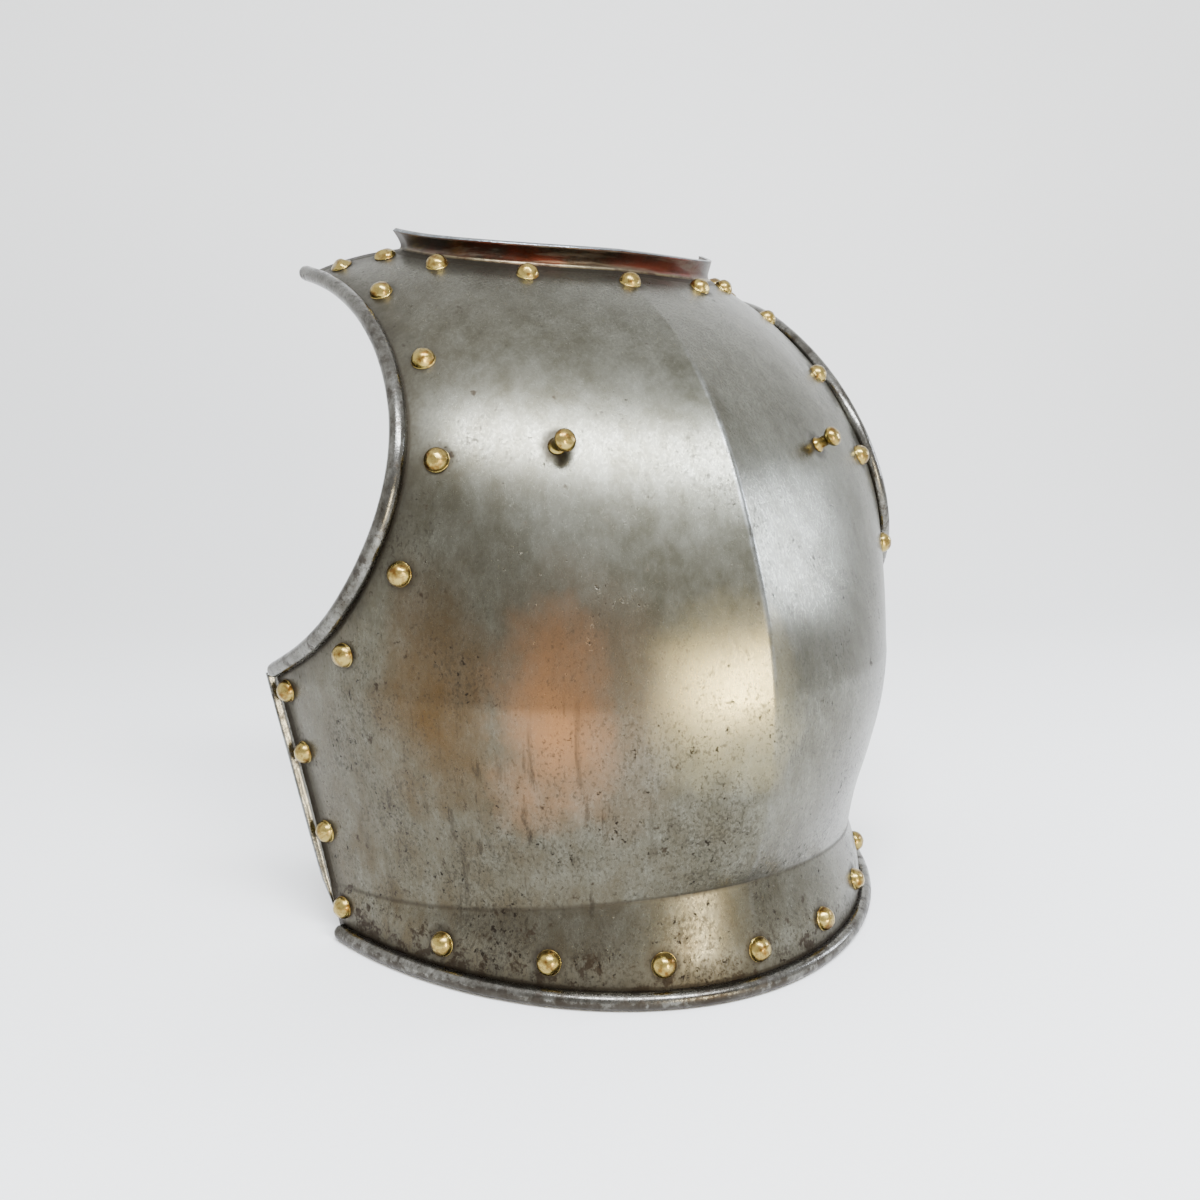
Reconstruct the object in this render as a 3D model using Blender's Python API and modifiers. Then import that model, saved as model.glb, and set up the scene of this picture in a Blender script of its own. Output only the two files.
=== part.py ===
"""A cuirassier's breastplate: one raised steel plate, its brass rivets and two strap buttons.

The plate is a sheet of steel. Its outer face is a smooth surface through level sections, and each
section is a curve that runs from the middle of the chest round to the flank. The side edge, the
armhole, the shoulder and the neck are outlines cut into that sheet, and its borders are turned
outwards. Lengths are in metres, +Z is up, the chest faces -Y and the wearer's left is +X.
"""
import math
from collections import namedtuple

import bmesh
import bpy
import numpy as np
from mathutils import Vector
from mathutils.bvhtree import BVHTree

# Overall sizes of the plate
PLATE_HEIGHT = 0.394
PLATE_DEPTH = 0.257
HALF_WIDTH = 0.200
STEEL = 0.0025

# Side edge, as set back from the front of the belly at the rim and at the armhole
SIDE_BACK_LOW = 0.634 * PLATE_DEPTH
SIDE_BACK_HIGH = 0.739 * PLATE_DEPTH

# Armhole, as seen from the side. Its height is that of its foremost point.
ARMHOLE_BACK = 0.9475 * PLATE_DEPTH
ARMHOLE_DEPTH = 0.558 * PLATE_DEPTH
ARMHOLE_HEIGHT = 0.618 * PLATE_HEIGHT
ARMHOLE_TOP = 0.934 * PLATE_HEIGHT
ARMHOLE_CORNER = 0.3642 * PLATE_HEIGHT
ARMHOLE_UPPER_ROUNDNESS = 0.74
ARMHOLE_LOWER_ROUNDNESS = 0.46
ARMHOLE_END_STEEPNESS = 5.0

# Neck and shoulder, as seen from above
NECK_HALF_WIDTH = 0.547 * HALF_WIDTH
NECK_CORNER = 0.538 * HALF_WIDTH
NECK_FRONT = 0.611 * PLATE_DEPTH
NECK_CENTRE = 0.940 * PLATE_DEPTH
NECK_POWER = 2.4
NECK_ROUNDNESS = 0.56
SHOULDER_SWEEP = math.radians(33)

# Turned borders
ROLL_BEND = 0.0019
ROLL_TURN = math.radians(270)
ROLL_STEPS = 6
FOOT_FLAT = 0.0002
SIDE_FLANGE = 0.0052
SIDE_FLANGE_END = 0.0012
SIDE_FLANGE_LIFT = math.radians(66)
SIDE_FLANGE_FOOT = 0.024
NECK_FLANGE_RISE = 0.0112
NECK_FLANGE_LEAN = 0.0030

# Rivets
HEAD_RADIUS = 0.0063
HEAD_HEIGHT = 0.0048
SHANK_RADIUS = 0.0022
TAIL_RADIUS = 0.0036
TAIL_HEIGHT = 0.0013
RIVET_SIDES = 10
PIECE_GAP = 0.0003
SEAT_REACH = 0.003

WAIST_RIVET_HEIGHT = 0.050 * PLATE_HEIGHT
WAIST_RIVET_SHARES = (0.0, 0.254, 0.498, 0.696)
SIDE_RIVET_INSET = 0.0092
SIDE_RIVET_SHARES = (0.355, 0.269, 0.157, 0.0495)
ARMHOLE_RIVET_INSETS = (0.0118, 0.0155, 0.0168, 0.0155, 0.0135)
ARMHOLE_RIVET_SHARES = (0.897, 0.802, 0.675, 0.537, 0.4265)
SHOULDER_RIVET_INSET = 0.0092
SHOULDER_RIVET_SHARES = (0.66, 0.20)
NECK_RIVET_INSETS = (0.0170, 0.0120, 0.0098)
NECK_RIVET_SHARES = (0.0, 0.51, 0.91)

# Strap buttons
BUTTON_ACROSS = 0.409 * HALF_WIDTH
BUTTON_HEIGHT = 0.6916 * PLATE_HEIGHT
BUTTON_FOOT_RADIUS = 0.0045
BUTTON_FOOT_HEIGHT = 0.0012
BUTTON_NECK_RADIUS = 0.0034
BUTTON_NECK_LENGTH = 0.0052
BUTTON_BALL_RADIUS = 0.0057
BUTTON_BALL_LENGTH = 0.0078
BUTTON_TIP_RADIUS = 0.0021
BUTTON_SIDES = 12

# Mesh
NECK_COLUMNS = 10
SHOULDER_COLUMNS = 5
SKIRT_ROWS = 4
FLANK_ROWS = 7
CHEST_ROWS = 14
CHEST_ROW_POWER = 1.25
NECK_BLEND_START = 0.45
SECTION_MIDDLE = 0.45
SMALL_STEP = 0.001
HALVINGS = 36
MERGE_DISTANCE = 0.00001

# Level sections of the plate, from the rim up. Rises are shares of the height, backs of the depth
# and reaches of the half width. Turns are plan angles at the middle and at the flank, pulls say how
# far each end keeps its direction, and fall is the slope of the flank's end.
Section = namedtuple(
    "Section",
    "rise back reach flank_back flank_rise ridge_turn flank_turn ridge_pull flank_pull fall",
)
CREASE = Section(0.130, 0.0768, 0.893, 0.673, 0.081, 3.0, 72, 0.34, 0.36, 0.0)
SKIRT_MIDDLE = Section(0.050, 0.0350, 0.888, 0.669, 0.048, 0.0, 74, 0.31, 0.42, 0.0)
RIM = Section(0.0, 0.0205, 0.878, 0.664, 0.0, 0.0, 76, 0.31, 0.43, 0.0)
BODY = (
    CREASE,
    Section(0.186, 0.0402, 0.917, 0.699, 0.162, 8.0, 73, 0.35, 0.38, 0.0),
    Section(0.248, 0.0146, 0.940, 0.721, 0.236, 11.0, 75, 0.38, 0.42, 0.0),
    Section(0.325, 0.0000, 0.968, 0.743, 0.320, 13.0, 76, 0.395, 0.475, 0.0),
    Section(0.396, 0.0037, 0.987, 0.750, 0.391, 15.0, 76, 0.42, 0.48, 0.0),
    Section(0.461, 0.0220, 0.996, 0.735, 0.456, 17.0, 76, 0.46, 0.45, 0.0),
    Section(0.525, 0.0549, 1.000, 0.691, 0.520, 18.0, 75, 0.50, 0.38, 0.0),
    Section(0.582, 0.0914, 0.992, 0.662, 0.577, 18.0, 74, 0.50, 0.35, 0.0),
    Section(0.675, 0.1536, 0.964, 0.644, 0.668, 17.5, 72, 0.50, 0.32, 0.0),
    Section(0.752, 0.2304, 0.940, 0.699, 0.742, 18.0, 70, 0.50, 0.33, 0.0),
    Section(0.818, 0.3182, 0.917, 0.775, 0.806, 15.0, 66, 0.48, 0.34, 0.05),
    Section(0.876, 0.4353, 0.893, 0.882, 0.854, 8.0, 61, 0.43, 0.34, 0.12),
    Section(0.933, 0.5816, 0.874, 0.940, 0.895, 2.0, 52, 0.36, 0.34, 0.25),
    Section(0.980, 0.7462, 0.865, 0.977, 0.904, 0.0, 46, 0.35, 0.34, 0.38),
    Section(1.030, 0.9290, 0.870, 1.064, 0.911, 0.0, 42, 0.34, 0.34, 0.54),
)


def rim_height():
    """Height of the sheet's lower edge, from which the rolled rim reaches down to the floor."""
    return ROLL_BEND + STEEL - FOOT_FLAT


def section_handles(section):
    """The four control points of a section's curve."""
    rise = rim_height() if section is RIM else section.rise * PLATE_HEIGHT
    flank_rise = rim_height() if section is RIM else section.flank_rise * PLATE_HEIGHT
    start = np.array([0.0, section.back * PLATE_DEPTH, rise])
    end = np.array([section.reach * HALF_WIDTH, section.flank_back * PLATE_DEPTH, flank_rise])
    chord = np.linalg.norm(end - start)
    ridge = math.radians(section.ridge_turn)
    flank = math.radians(section.flank_turn)
    leave = np.array([math.cos(ridge), math.sin(ridge), 0.0]) * section.ridge_pull * chord
    arrive = np.array([math.cos(flank), math.sin(flank), -section.fall]) * section.flank_pull * chord
    return np.array([start, start + leave, end - arrive, end])


class Sheet:
    """A smooth face through level sections. across and level both run from 0 to 1."""

    def __init__(self, sections):
        self.handles = np.array([section_handles(section) for section in sections])
        middles = self.section_points(np.array([SECTION_MIDDLE]))[:, 0]
        lengths = np.linalg.norm(np.diff(middles, axis=0), axis=1)
        self.knots = np.concatenate(([0.0], np.cumsum(lengths))) / lengths.sum()

    def section_points(self, across):
        s = across[None, :, None]
        a, b, c, d = (self.handles[:, i][:, None, :] for i in range(4))
        return (1 - s) ** 3 * a + 3 * (1 - s) ** 2 * s * b + 3 * (1 - s) * s * s * c + s ** 3 * d

    def points(self, across, level):
        across = np.asarray(across, float)
        level = np.asarray(level, float)
        rows = self.section_points(across)
        steps = np.diff(self.knots)[:, None, None]
        slopes = np.diff(rows, axis=0) / steps
        tangents = np.empty_like(rows)
        tangents[1:-1] = (slopes[:-1] * steps[1:] + slopes[1:] * steps[:-1]) / (steps[1:] + steps[:-1])
        tangents[0] = 1.5 * slopes[0] - 0.5 * tangents[1]
        tangents[-1] = slopes[-1]
        low = np.clip(np.searchsorted(self.knots, level) - 1, 0, len(self.knots) - 2)
        step = (self.knots[low + 1] - self.knots[low])[:, None]
        t = (level - self.knots[low])[:, None] / step
        each = np.arange(len(across))
        return (
            (2 * t ** 3 - 3 * t * t + 1) * rows[low, each]
            + (t ** 3 - 2 * t * t + t) * step * tangents[low, each]
            + (3 * t * t - 2 * t ** 3) * rows[low + 1, each]
            + (t ** 3 - t * t) * step * tangents[low + 1, each]
        )

    def normals(self, across, level):
        across = np.asarray(across, float)
        level = np.asarray(level, float)
        beside = self.points(across + SMALL_STEP, level) - self.points(across - SMALL_STEP, level)
        above = self.points(across, np.minimum(level + SMALL_STEP, 1)) - self.points(
            across, np.maximum(level - SMALL_STEP, 0)
        )
        return unit(np.cross(beside, above))


def unit(vectors):
    return vectors / np.linalg.norm(vectors, axis=-1, keepdims=True)


def solve(low, high, is_past):
    """Halve the spans from low to high until each holds the place where is_past turns true."""
    for _ in range(HALVINGS):
        middle = (low + high) / 2
        past = is_past(middle)
        high = np.where(past, middle, high)
        low = np.where(past, low, middle)
    return (low + high) / 2


def side_line(height):
    """How far back the straight side edge lies at a height."""
    share = (height - rim_height()) / (ARMHOLE_CORNER - rim_height())
    return SIDE_BACK_LOW + (SIDE_BACK_HIGH - SIDE_BACK_LOW) * share


def armhole_line(height):
    """How far back the armhole's edge lies at a height, behind which the plate is cut away."""
    up = np.clip((height - ARMHOLE_HEIGHT) / (ARMHOLE_TOP - ARMHOLE_HEIGHT), 0, 1)
    down = np.clip((ARMHOLE_HEIGHT - height) / (ARMHOLE_HEIGHT - ARMHOLE_CORNER), 0, 1)
    upper = (1 - up ** 2) ** ARMHOLE_UPPER_ROUNDNESS
    lower = (1 - down ** 2) ** ARMHOLE_LOWER_ROUNDNESS
    back = ARMHOLE_BACK - ARMHOLE_DEPTH * np.minimum(upper, lower)
    past = np.maximum(height - ARMHOLE_TOP, 0) + np.maximum(ARMHOLE_CORNER - height, 0)
    return back + past * ARMHOLE_END_STEEPNESS


def edge_line(height):
    """How far back the side edge lies, or the armhole's above its corner."""
    armhole = armhole_line(height)
    return np.where(height > ARMHOLE_HEIGHT, armhole, np.minimum(side_line(height), armhole))


def neck_line(across):
    """How far back the neck's edge, and past its corner the shoulder's, lies at a distance across."""
    share = np.minimum(across, NECK_CORNER) / NECK_HALF_WIDTH
    inside = (1 - share ** NECK_POWER) ** NECK_ROUNDNESS
    neck = NECK_CENTRE - (NECK_CENTRE - NECK_FRONT) * inside
    return neck + np.maximum(across - NECK_CORNER, 0) * math.tan(SHOULDER_SWEEP)


def edge_share(sheet, level):
    """How far across each level of a sheet its side or armhole edge comes."""
    level = np.asarray(level, float)

    def past_edge(across):
        place = sheet.points(across, level)
        return place[:, 1] > edge_line(place[:, 2])

    return solve(np.zeros_like(level), np.ones_like(level), past_edge)


def plate_points(sheet, column, level):
    """Points whose column is a share of the way from the middle to the edge."""
    return sheet.points(column * edge_share(sheet, level), level)


def plate_normals(sheet, column, level):
    return sheet.normals(column * edge_share(sheet, level), level)


def top_levels(body, column):
    """The level at which each column meets the neck's or the shoulder's edge."""

    def past_top(level):
        place = plate_points(body, column, level)
        return place[:, 1] > neck_line(place[:, 0])

    half = np.full(len(column), 0.5)
    return solve(half, np.ones(len(column)), past_top)


class Layout:
    """The rows and columns of the half plate, with every border on a row or a column."""

    def __init__(self):
        self.skirt = Sheet((RIM, SKIRT_MIDDLE, CREASE))
        self.body = Sheet(BODY)

        def past_corner(column):
            top = plate_points(self.body, column, top_levels(self.body, column))
            return top[:, 0] > NECK_CORNER

        self.corner = float(solve(np.zeros(1), np.ones(1), past_corner)[0])
        neck = np.linspace(0, self.corner, NECK_COLUMNS + 1)
        shoulder = np.linspace(self.corner, 1, SHOULDER_COLUMNS + 1)
        self.columns = np.concatenate((neck, shoulder[1:]))
        self.middle_top = float(top_levels(self.body, np.zeros(1))[0])

    def levels(self, column, row):
        """Levels of a row, a share of the way from the crease to the neck and shoulder edge."""
        blend = max(row - NECK_BLEND_START, 0) / (1 - NECK_BLEND_START)
        lift = top_levels(self.body, column) - self.middle_top if blend else 0
        return row * self.middle_top + lift * blend ** 2 + 0 * column

    def armhole_row(self):
        """The row that runs into the corner between the side edge and the armhole."""

        def past_corner(row):
            edge = plate_points(self.body, np.ones(1), row * self.middle_top)
            return armhole_line(edge[:, 2]) < side_line(edge[:, 2])

        return float(solve(np.zeros(1), np.full(1, NECK_BLEND_START), past_corner)[0])

    def rows(self):
        """Each row's points and normals, from the rim up, with its place in the plate."""
        for share in np.linspace(0, 1, SKIRT_ROWS + 1)[:-1]:
            level = np.full(len(self.columns), share)
            points = plate_points(self.skirt, self.columns, level)
            yield points, plate_normals(self.skirt, self.columns, level)
        corner = self.armhole_row()
        flank = np.linspace(0, corner, FLANK_ROWS + 1)
        chest = corner + (1 - corner) * np.linspace(0, 1, CHEST_ROWS + 1)[1:] ** CHEST_ROW_POWER
        for row in np.concatenate((flank, chest)):
            level = self.levels(self.columns, row)
            points = plate_points(self.body, self.columns, level)
            yield points, plate_normals(self.body, self.columns, level)


def along(points):
    """Unit directions along a line of points."""
    ahead = np.concatenate((points[1:], points[-1:]))
    behind = np.concatenate((points[:1], points[:-1]))
    return unit(ahead - behind)


def roll_profile():
    """A rolled border in section: how far out along the sheet and how far off its face."""
    for step in range(1, ROLL_STEPS + 1):
        turn = ROLL_TURN * step / ROLL_STEPS
        yield ROLL_BEND * math.sin(turn), ROLL_BEND * (1 - math.cos(turn))


def rolled(points, outward, off_face):
    """Lines of points of a rolled border, one for each step of its section."""
    for out, off in roll_profile():
        yield points + outward * out + off_face * off


def bridge(mesh, near, far):
    """Faces between two lines of vertices, near being lower or nearer the middle of the plate."""
    for (a, b), (c, d) in zip(zip(near, near[1:]), zip(far, far[1:])):
        mesh.faces.new((a, b, d, c))


def add_line(mesh, points):
    return [mesh.verts.new(point) for point in points]


def half_sheet(layout):
    """The left half of the plate's outer face, with its turned borders, as one open mesh."""
    mesh = bmesh.new()
    points = []
    normals = []
    for row_points, row_normals in layout.rows():
        row_points[0, 0] = 0
        points.append(row_points)
        normals.append(row_normals)
    points = np.array(points)
    normals = np.array(normals)
    grid = [add_line(mesh, row) for row in points]
    for low, high in zip(grid, grid[1:]):
        bridge(mesh, low, high)

    # Rolled rim, turned in a level frame so that its foot lies flat on the floor
    outward = np.cross(along(points[0]), (0, 0, 1))
    outward[0] = (0, -1, 0)
    inner = grid[0]
    for line in rolled(points[0], np.array([0, 0, -1]), outward):
        outer = add_line(mesh, line)
        bridge(mesh, outer, inner)
        inner = outer

    # Rolled armhole, from the corner over the flank to the shoulder's tip
    corner = SKIRT_ROWS + FLANK_ROWS
    edge = points[corner:, -1]
    out = np.cross(along(edge), normals[corner:, -1])
    inner = [row[-1] for row in grid[corner:]]
    for line in rolled(edge, unit(out), normals[corner:, -1]):
        outer = add_line(mesh, line)
        bridge(mesh, outer, inner)
        inner = outer

    # Side flange, narrower towards its foot
    heights = points[: corner + 1, -1, 2]
    foot = int(np.argmax(heights > SIDE_FLANGE_FOOT))
    edge = points[foot : corner + 1, -1]
    normal = normals[foot : corner + 1, -1]
    out = unit(np.cross(along(edge), normal))
    share = np.minimum(np.linspace(0, 2, len(edge)), 1)[:, None]
    width = SIDE_FLANGE_END + (SIDE_FLANGE - SIDE_FLANGE_END) * share
    lifted = out * math.cos(SIDE_FLANGE_LIFT) + normal * math.sin(SIDE_FLANGE_LIFT)
    outer = add_line(mesh, edge + lifted * width)
    bridge(mesh, outer, [row[-1] for row in grid[foot : corner + 1]])

    # Neck flange, leaning forwards over the chest
    edge = points[-1, : NECK_COLUMNS + 1]
    forward = np.cross(along(edge), (0, 0, 1))
    forward[0] = (0, -1, 0)
    inner = grid[-1][: NECK_COLUMNS + 1]
    for share in (0.5, 1.0):
        lean = forward * NECK_FLANGE_LEAN * share ** 2
        outer = add_line(mesh, edge + lean + np.array([0, 0, NECK_FLANGE_RISE * share]))
        bridge(mesh, inner, outer)
        inner = outer
    return mesh


def finish(name, colour, metallic, roughness):
    """A plain material."""
    material = bpy.data.materials.new(name)
    material.use_nodes = True
    shader = material.node_tree.nodes["Principled BSDF"]
    shader.inputs["Base Color"].default_value = (*colour, 1)
    shader.inputs["Metallic"].default_value = metallic
    shader.inputs["Roughness"].default_value = roughness
    return material


def add_object(name, mesh, collection, parent, material=None):
    """A new object from a bmesh, which it frees."""
    data = bpy.data.meshes.new(name)
    mesh.to_mesh(data)
    mesh.free()
    if material:
        data.materials.append(material)
    piece = bpy.data.objects.new(name, data)
    piece.parent = parent
    collection.objects.link(piece)
    return piece


def make_shell(layout, parts, frame, steel):
    """The plate as a solid sheet, before its holes are cut."""
    shell = add_object("plate", half_sheet(layout), parts, frame, steel)
    shell.data.shade_smooth()
    mirror = shell.modifiers.new("both_sides", "MIRROR")
    mirror.merge_threshold = MERGE_DISTANCE
    thickness = shell.modifiers.new("thickness", "SOLIDIFY")
    thickness.thickness = STEEL
    thickness.offset = -1
    thickness.use_even_offset = True
    return shell


def surface_tree(piece):
    """A search tree of a piece's faces as they stand."""
    bpy.context.view_layer.update()
    return BVHTree.FromObject(piece, bpy.context.evaluated_depsgraph_get())


def extent_along(tree, place, axis, radius, sides):
    """The farthest that the face near a place stands out along an axis, within a radius."""
    side = axis.orthogonal().normalized()
    over = axis.cross(side)
    heights = []
    for ring in (0.0, 0.5, 1.0):
        for step in range(sides):
            turn = 2 * math.pi * step / sides
            start = place + (side * math.cos(turn) + over * math.sin(turn)) * radius * ring
            hit = tree.ray_cast(start + axis * SEAT_REACH, -axis, 2 * SEAT_REACH)[0]
            if hit is not None:
                heights.append((hit - place).dot(axis))
    return max(heights)


def turned(name, profile, sides, collection, parent, material):
    """A solid turned about Z from a profile of (radius, height) points, top to bottom."""
    mesh = bmesh.new()
    line = [mesh.verts.new((radius, 0, height)) for radius, height in profile]
    for start, end in zip(line, line[1:]):
        mesh.edges.new((start, end))
    piece = add_object(name, mesh, collection, parent, material)
    screw = piece.modifiers.new("turned", "SCREW")
    screw.steps = sides
    screw.render_steps = sides
    screw.use_merge_vertices = True
    screw.merge_threshold = MERGE_DISTANCE
    screw.use_smooth_shade = True
    return piece


def tail_profile(grip):
    """Shank and hammered tail, from just under the head down to the tail's end."""
    return [
        (SHANK_RADIUS, 0),
        (SHANK_RADIUS, -grip),
        (TAIL_RADIUS, -grip),
        (TAIL_RADIUS * 0.72, -grip - TAIL_HEIGHT),
        (0, -grip - TAIL_HEIGHT),
    ]


def rivet_profile(grip):
    """A low round head over its shank and tail."""
    dome = [
        (HEAD_RADIUS * math.sin(math.radians(turn)), HEAD_HEIGHT * math.cos(math.radians(turn)))
        for turn in (0, 32, 62, 90)
    ]
    return dome + tail_profile(grip)


def button_profile(grip):
    """A flared foot, a neck and a flattened ball with a small flat tip, over shank and tail."""
    ball_foot = BUTTON_FOOT_HEIGHT + BUTTON_NECK_LENGTH
    centre = ball_foot + BUTTON_BALL_LENGTH / 2
    half = BUTTON_BALL_LENGTH / 2
    start = math.asin(BUTTON_TIP_RADIUS / BUTTON_BALL_RADIUS)
    end = math.pi - math.asin(BUTTON_NECK_RADIUS / BUTTON_BALL_RADIUS)
    ball = [(0, centre + half * math.cos(start))]
    for step in range(6):
        turn = start + (end - start) * step / 5
        ball.append((BUTTON_BALL_RADIUS * math.sin(turn), centre + half * math.cos(turn)))
    foot = [
        (BUTTON_NECK_RADIUS, BUTTON_FOOT_HEIGHT + BUTTON_FOOT_HEIGHT / 2),
        (BUTTON_FOOT_RADIUS, BUTTON_FOOT_HEIGHT / 2),
        (BUTTON_FOOT_RADIUS, 0),
    ]
    return ball + foot + tail_profile(grip)


Fixing = namedtuple("Fixing", "name place axis kind")


def both_sides(name, place, axis, kind="rivet"):
    """A fixing on the wearer's left and its twin on the right."""
    mirrored = Vector((-place.x, place.y, place.z))
    mirrored_axis = Vector((-axis.x, axis.y, axis.z))
    return [
        Fixing(f"left_{name}", place, axis, kind),
        Fixing(f"right_{name}", mirrored, mirrored_axis, kind),
    ]


def spot(sheet, across, level):
    place = Vector(sheet.points([across], [level])[0])
    axis = Vector(sheet.normals([across], [level])[0])
    return place, axis


def spot_at(sheet, distance, height):
    """Place and axis on a sheet at a distance across and a height."""
    level = np.full(1, 0.5)
    across = np.full(1, 0.5)
    for _ in range(6):
        across = solve(np.zeros(1), np.ones(1), lambda s: sheet.points(s, level)[:, 0] > distance)
        level = solve(np.zeros(1), np.ones(1), lambda t: sheet.points(across, t)[:, 2] > height)
    return spot(sheet, float(across[0]), float(level[0]))


def edge_spot(layout, edge_points, height, inset):
    """Place and axis at a height, inset from the side or the armhole edge."""
    sheet = layout.body
    crease_edge = plate_points(sheet, np.ones(1), np.zeros(1))[0]
    if height < crease_edge[2]:
        sheet = layout.skirt

    def past_height(level):
        return plate_points(sheet, np.ones(1), level)[:, 2] > height

    level = solve(np.zeros(1), np.ones(1), past_height)
    edge = edge_share(sheet, level)

    def near_edge(across):
        gaps = np.linalg.norm(edge_points - sheet.points(across, level), axis=1)
        return np.array([gaps.min() < inset])

    across = solve(edge * 0.5, edge, near_edge)
    return spot(sheet, float(across[0]), float(level[0]))


def top_spot(layout, top_points, column, inset):
    """Place and axis in a column, inset from the neck's or the shoulder's edge."""
    column = np.full(1, float(column))
    top = top_levels(layout.body, column)

    def near_top(level):
        gaps = np.linalg.norm(top_points - plate_points(layout.body, column, level), axis=1)
        return np.array([gaps.min() < inset])

    level = solve(top * 0.8, top, near_top)
    across = float((column * edge_share(layout.body, level))[0])
    return spot(layout.body, across, float(level[0]))


def fixings(layout):
    """Every rivet and button, with its place on the plate's outer face and its axis."""
    fine = np.linspace(0, 1, 120)
    edge_points = np.concatenate((
        plate_points(layout.skirt, np.ones(120), fine),
        plate_points(layout.body, np.ones(120), fine),
    ))
    top_points = plate_points(layout.body, fine, top_levels(layout.body, fine))
    found = []
    for number, share in enumerate(WAIST_RIVET_SHARES):
        place, axis = spot_at(layout.skirt, share * HALF_WIDTH, WAIST_RIVET_HEIGHT)
        if number == 0:
            found.append(Fixing("waist_rivet_middle", place, axis, "rivet"))
        else:
            found += both_sides(f"waist_rivet_{number}", place, axis)
    for number, share in enumerate(SIDE_RIVET_SHARES, 1):
        place, axis = edge_spot(layout, edge_points, share * PLATE_HEIGHT, SIDE_RIVET_INSET)
        found += both_sides(f"side_rivet_{number}", place, axis)
    for number, (share, inset) in enumerate(zip(ARMHOLE_RIVET_SHARES, ARMHOLE_RIVET_INSETS), 1):
        place, axis = edge_spot(layout, edge_points, share * PLATE_HEIGHT, inset)
        found += both_sides(f"armhole_rivet_{number}", place, axis)
    for number, share in enumerate(SHOULDER_RIVET_SHARES, 1):
        column = layout.corner + (1 - layout.corner) * share
        place, axis = top_spot(layout, top_points, column, SHOULDER_RIVET_INSET)
        found += both_sides(f"shoulder_rivet_{number}", place, axis)
    for number, share in enumerate(NECK_RIVET_SHARES):
        inset = NECK_RIVET_INSETS[number]
        place, axis = top_spot(layout, top_points, layout.corner * share, inset)
        if number == 0:
            place.x = 0
            axis.x = 0
            found.append(Fixing("neck_rivet_middle", place, axis.normalized(), "rivet"))
        else:
            found += both_sides(f"neck_rivet_{number}", place, axis)
    place, axis = spot_at(layout.body, BUTTON_ACROSS, BUTTON_HEIGHT)
    found += both_sides("strap_button", place, axis, "button")
    return found


def make_fixing(fixing, tree, parts, frame, brass):
    """A rivet or button, seated a small gap off both faces of the plate. Returns the piece."""
    button = fixing.kind == "button"
    radius = BUTTON_FOOT_RADIUS if button else HEAD_RADIUS
    sides = BUTTON_SIDES if button else RIVET_SIDES
    outer = extent_along(tree, fixing.place, fixing.axis, radius, sides) + PIECE_GAP
    inside = fixing.place - fixing.axis * 2 * STEEL
    inner = extent_along(tree, inside, -fixing.axis, TAIL_RADIUS, sides) + 2 * STEEL + PIECE_GAP
    grip = outer + inner
    profile = button_profile(grip) if button else rivet_profile(grip)
    piece = turned(fixing.name, profile, sides, parts, frame, brass)
    piece.location = fixing.place + fixing.axis * outer
    piece.rotation_euler = fixing.axis.to_track_quat("Z", "Y").to_euler()
    return piece


def make_hole_cutter(layout_fixings, cutters, frame):
    """One mesh of round bars that drills every rivet's hole."""
    mesh = bmesh.new()
    for fixing in layout_fixings:
        sides = BUTTON_SIDES if fixing.kind == "button" else RIVET_SIDES
        radius = (SHANK_RADIUS + PIECE_GAP) / math.cos(math.pi / sides)
        turn = fixing.axis.to_track_quat("Z", "Y").to_matrix().to_4x4()
        turn.translation = fixing.place
        bmesh.ops.create_cone(
            mesh, cap_ends=True, segments=sides, radius1=radius, radius2=radius,
            depth=8 * STEEL, matrix=turn,
        )
    return add_object("rivet_holes", mesh, cutters, frame)


def make_floor_cutter(cutters, frame):
    """A block whose top is the floor, which flattens the foot of the rolled rim."""
    mesh = bmesh.new()
    bmesh.ops.create_cube(mesh, size=1)
    bmesh.ops.scale(mesh, vec=(4 * HALF_WIDTH, 4 * PLATE_DEPTH, 4 * STEEL), verts=mesh.verts)
    bmesh.ops.translate(mesh, vec=(0, PLATE_DEPTH / 2, -2 * STEEL), verts=mesh.verts)
    return add_object("floor", mesh, cutters, frame)


def cut(piece, cutter):
    """Take a cutter's volume out of a piece."""
    cutter.hide_render = True
    cutter.display_type = "WIRE"
    boolean = piece.modifiers.new(cutter.name, "BOOLEAN")
    boolean.operation = "DIFFERENCE"
    boolean.solver = "EXACT"
    boolean.object = cutter


def centre_on_floor(frame, pieces):
    """Move the frame so that the middle of the object's bounding box is over the origin."""
    bpy.context.view_layer.update()
    depsgraph = bpy.context.evaluated_depsgraph_get()
    backs = []
    for piece in pieces:
        evaluated = piece.evaluated_get(depsgraph)
        mesh = evaluated.to_mesh()
        backs += [(piece.matrix_world @ vertex.co).y for vertex in mesh.vertices]
        evaluated.to_mesh_clear()
    frame.location.y = -(min(backs) + max(backs)) / 2


def main():
    for piece in list(bpy.data.objects):
        bpy.data.objects.remove(piece, do_unlink=True)
    parts = bpy.data.collections.new("cuirassier_breastplate")
    cutters = bpy.data.collections.new("cutters")
    bpy.context.scene.collection.children.link(parts)
    bpy.context.scene.collection.children.link(cutters)
    frame = bpy.data.objects.new("breastplate_frame", None)
    parts.objects.link(frame)

    steel = finish("satin_steel", (0.42, 0.41, 0.39), 1.0, 0.38)
    brass = finish("cast_brass", (0.78, 0.58, 0.27), 1.0, 0.30)
    layout = Layout()
    plate = make_shell(layout, parts, frame, steel)
    tree = surface_tree(plate)
    found = fixings(layout)
    pieces = [make_fixing(fixing, tree, parts, frame, brass) for fixing in found]
    cut(plate, make_floor_cutter(cutters, frame))
    cut(plate, make_hole_cutter(found, cutters, frame))
    centre_on_floor(frame, [plate] + pieces)


main()
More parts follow.
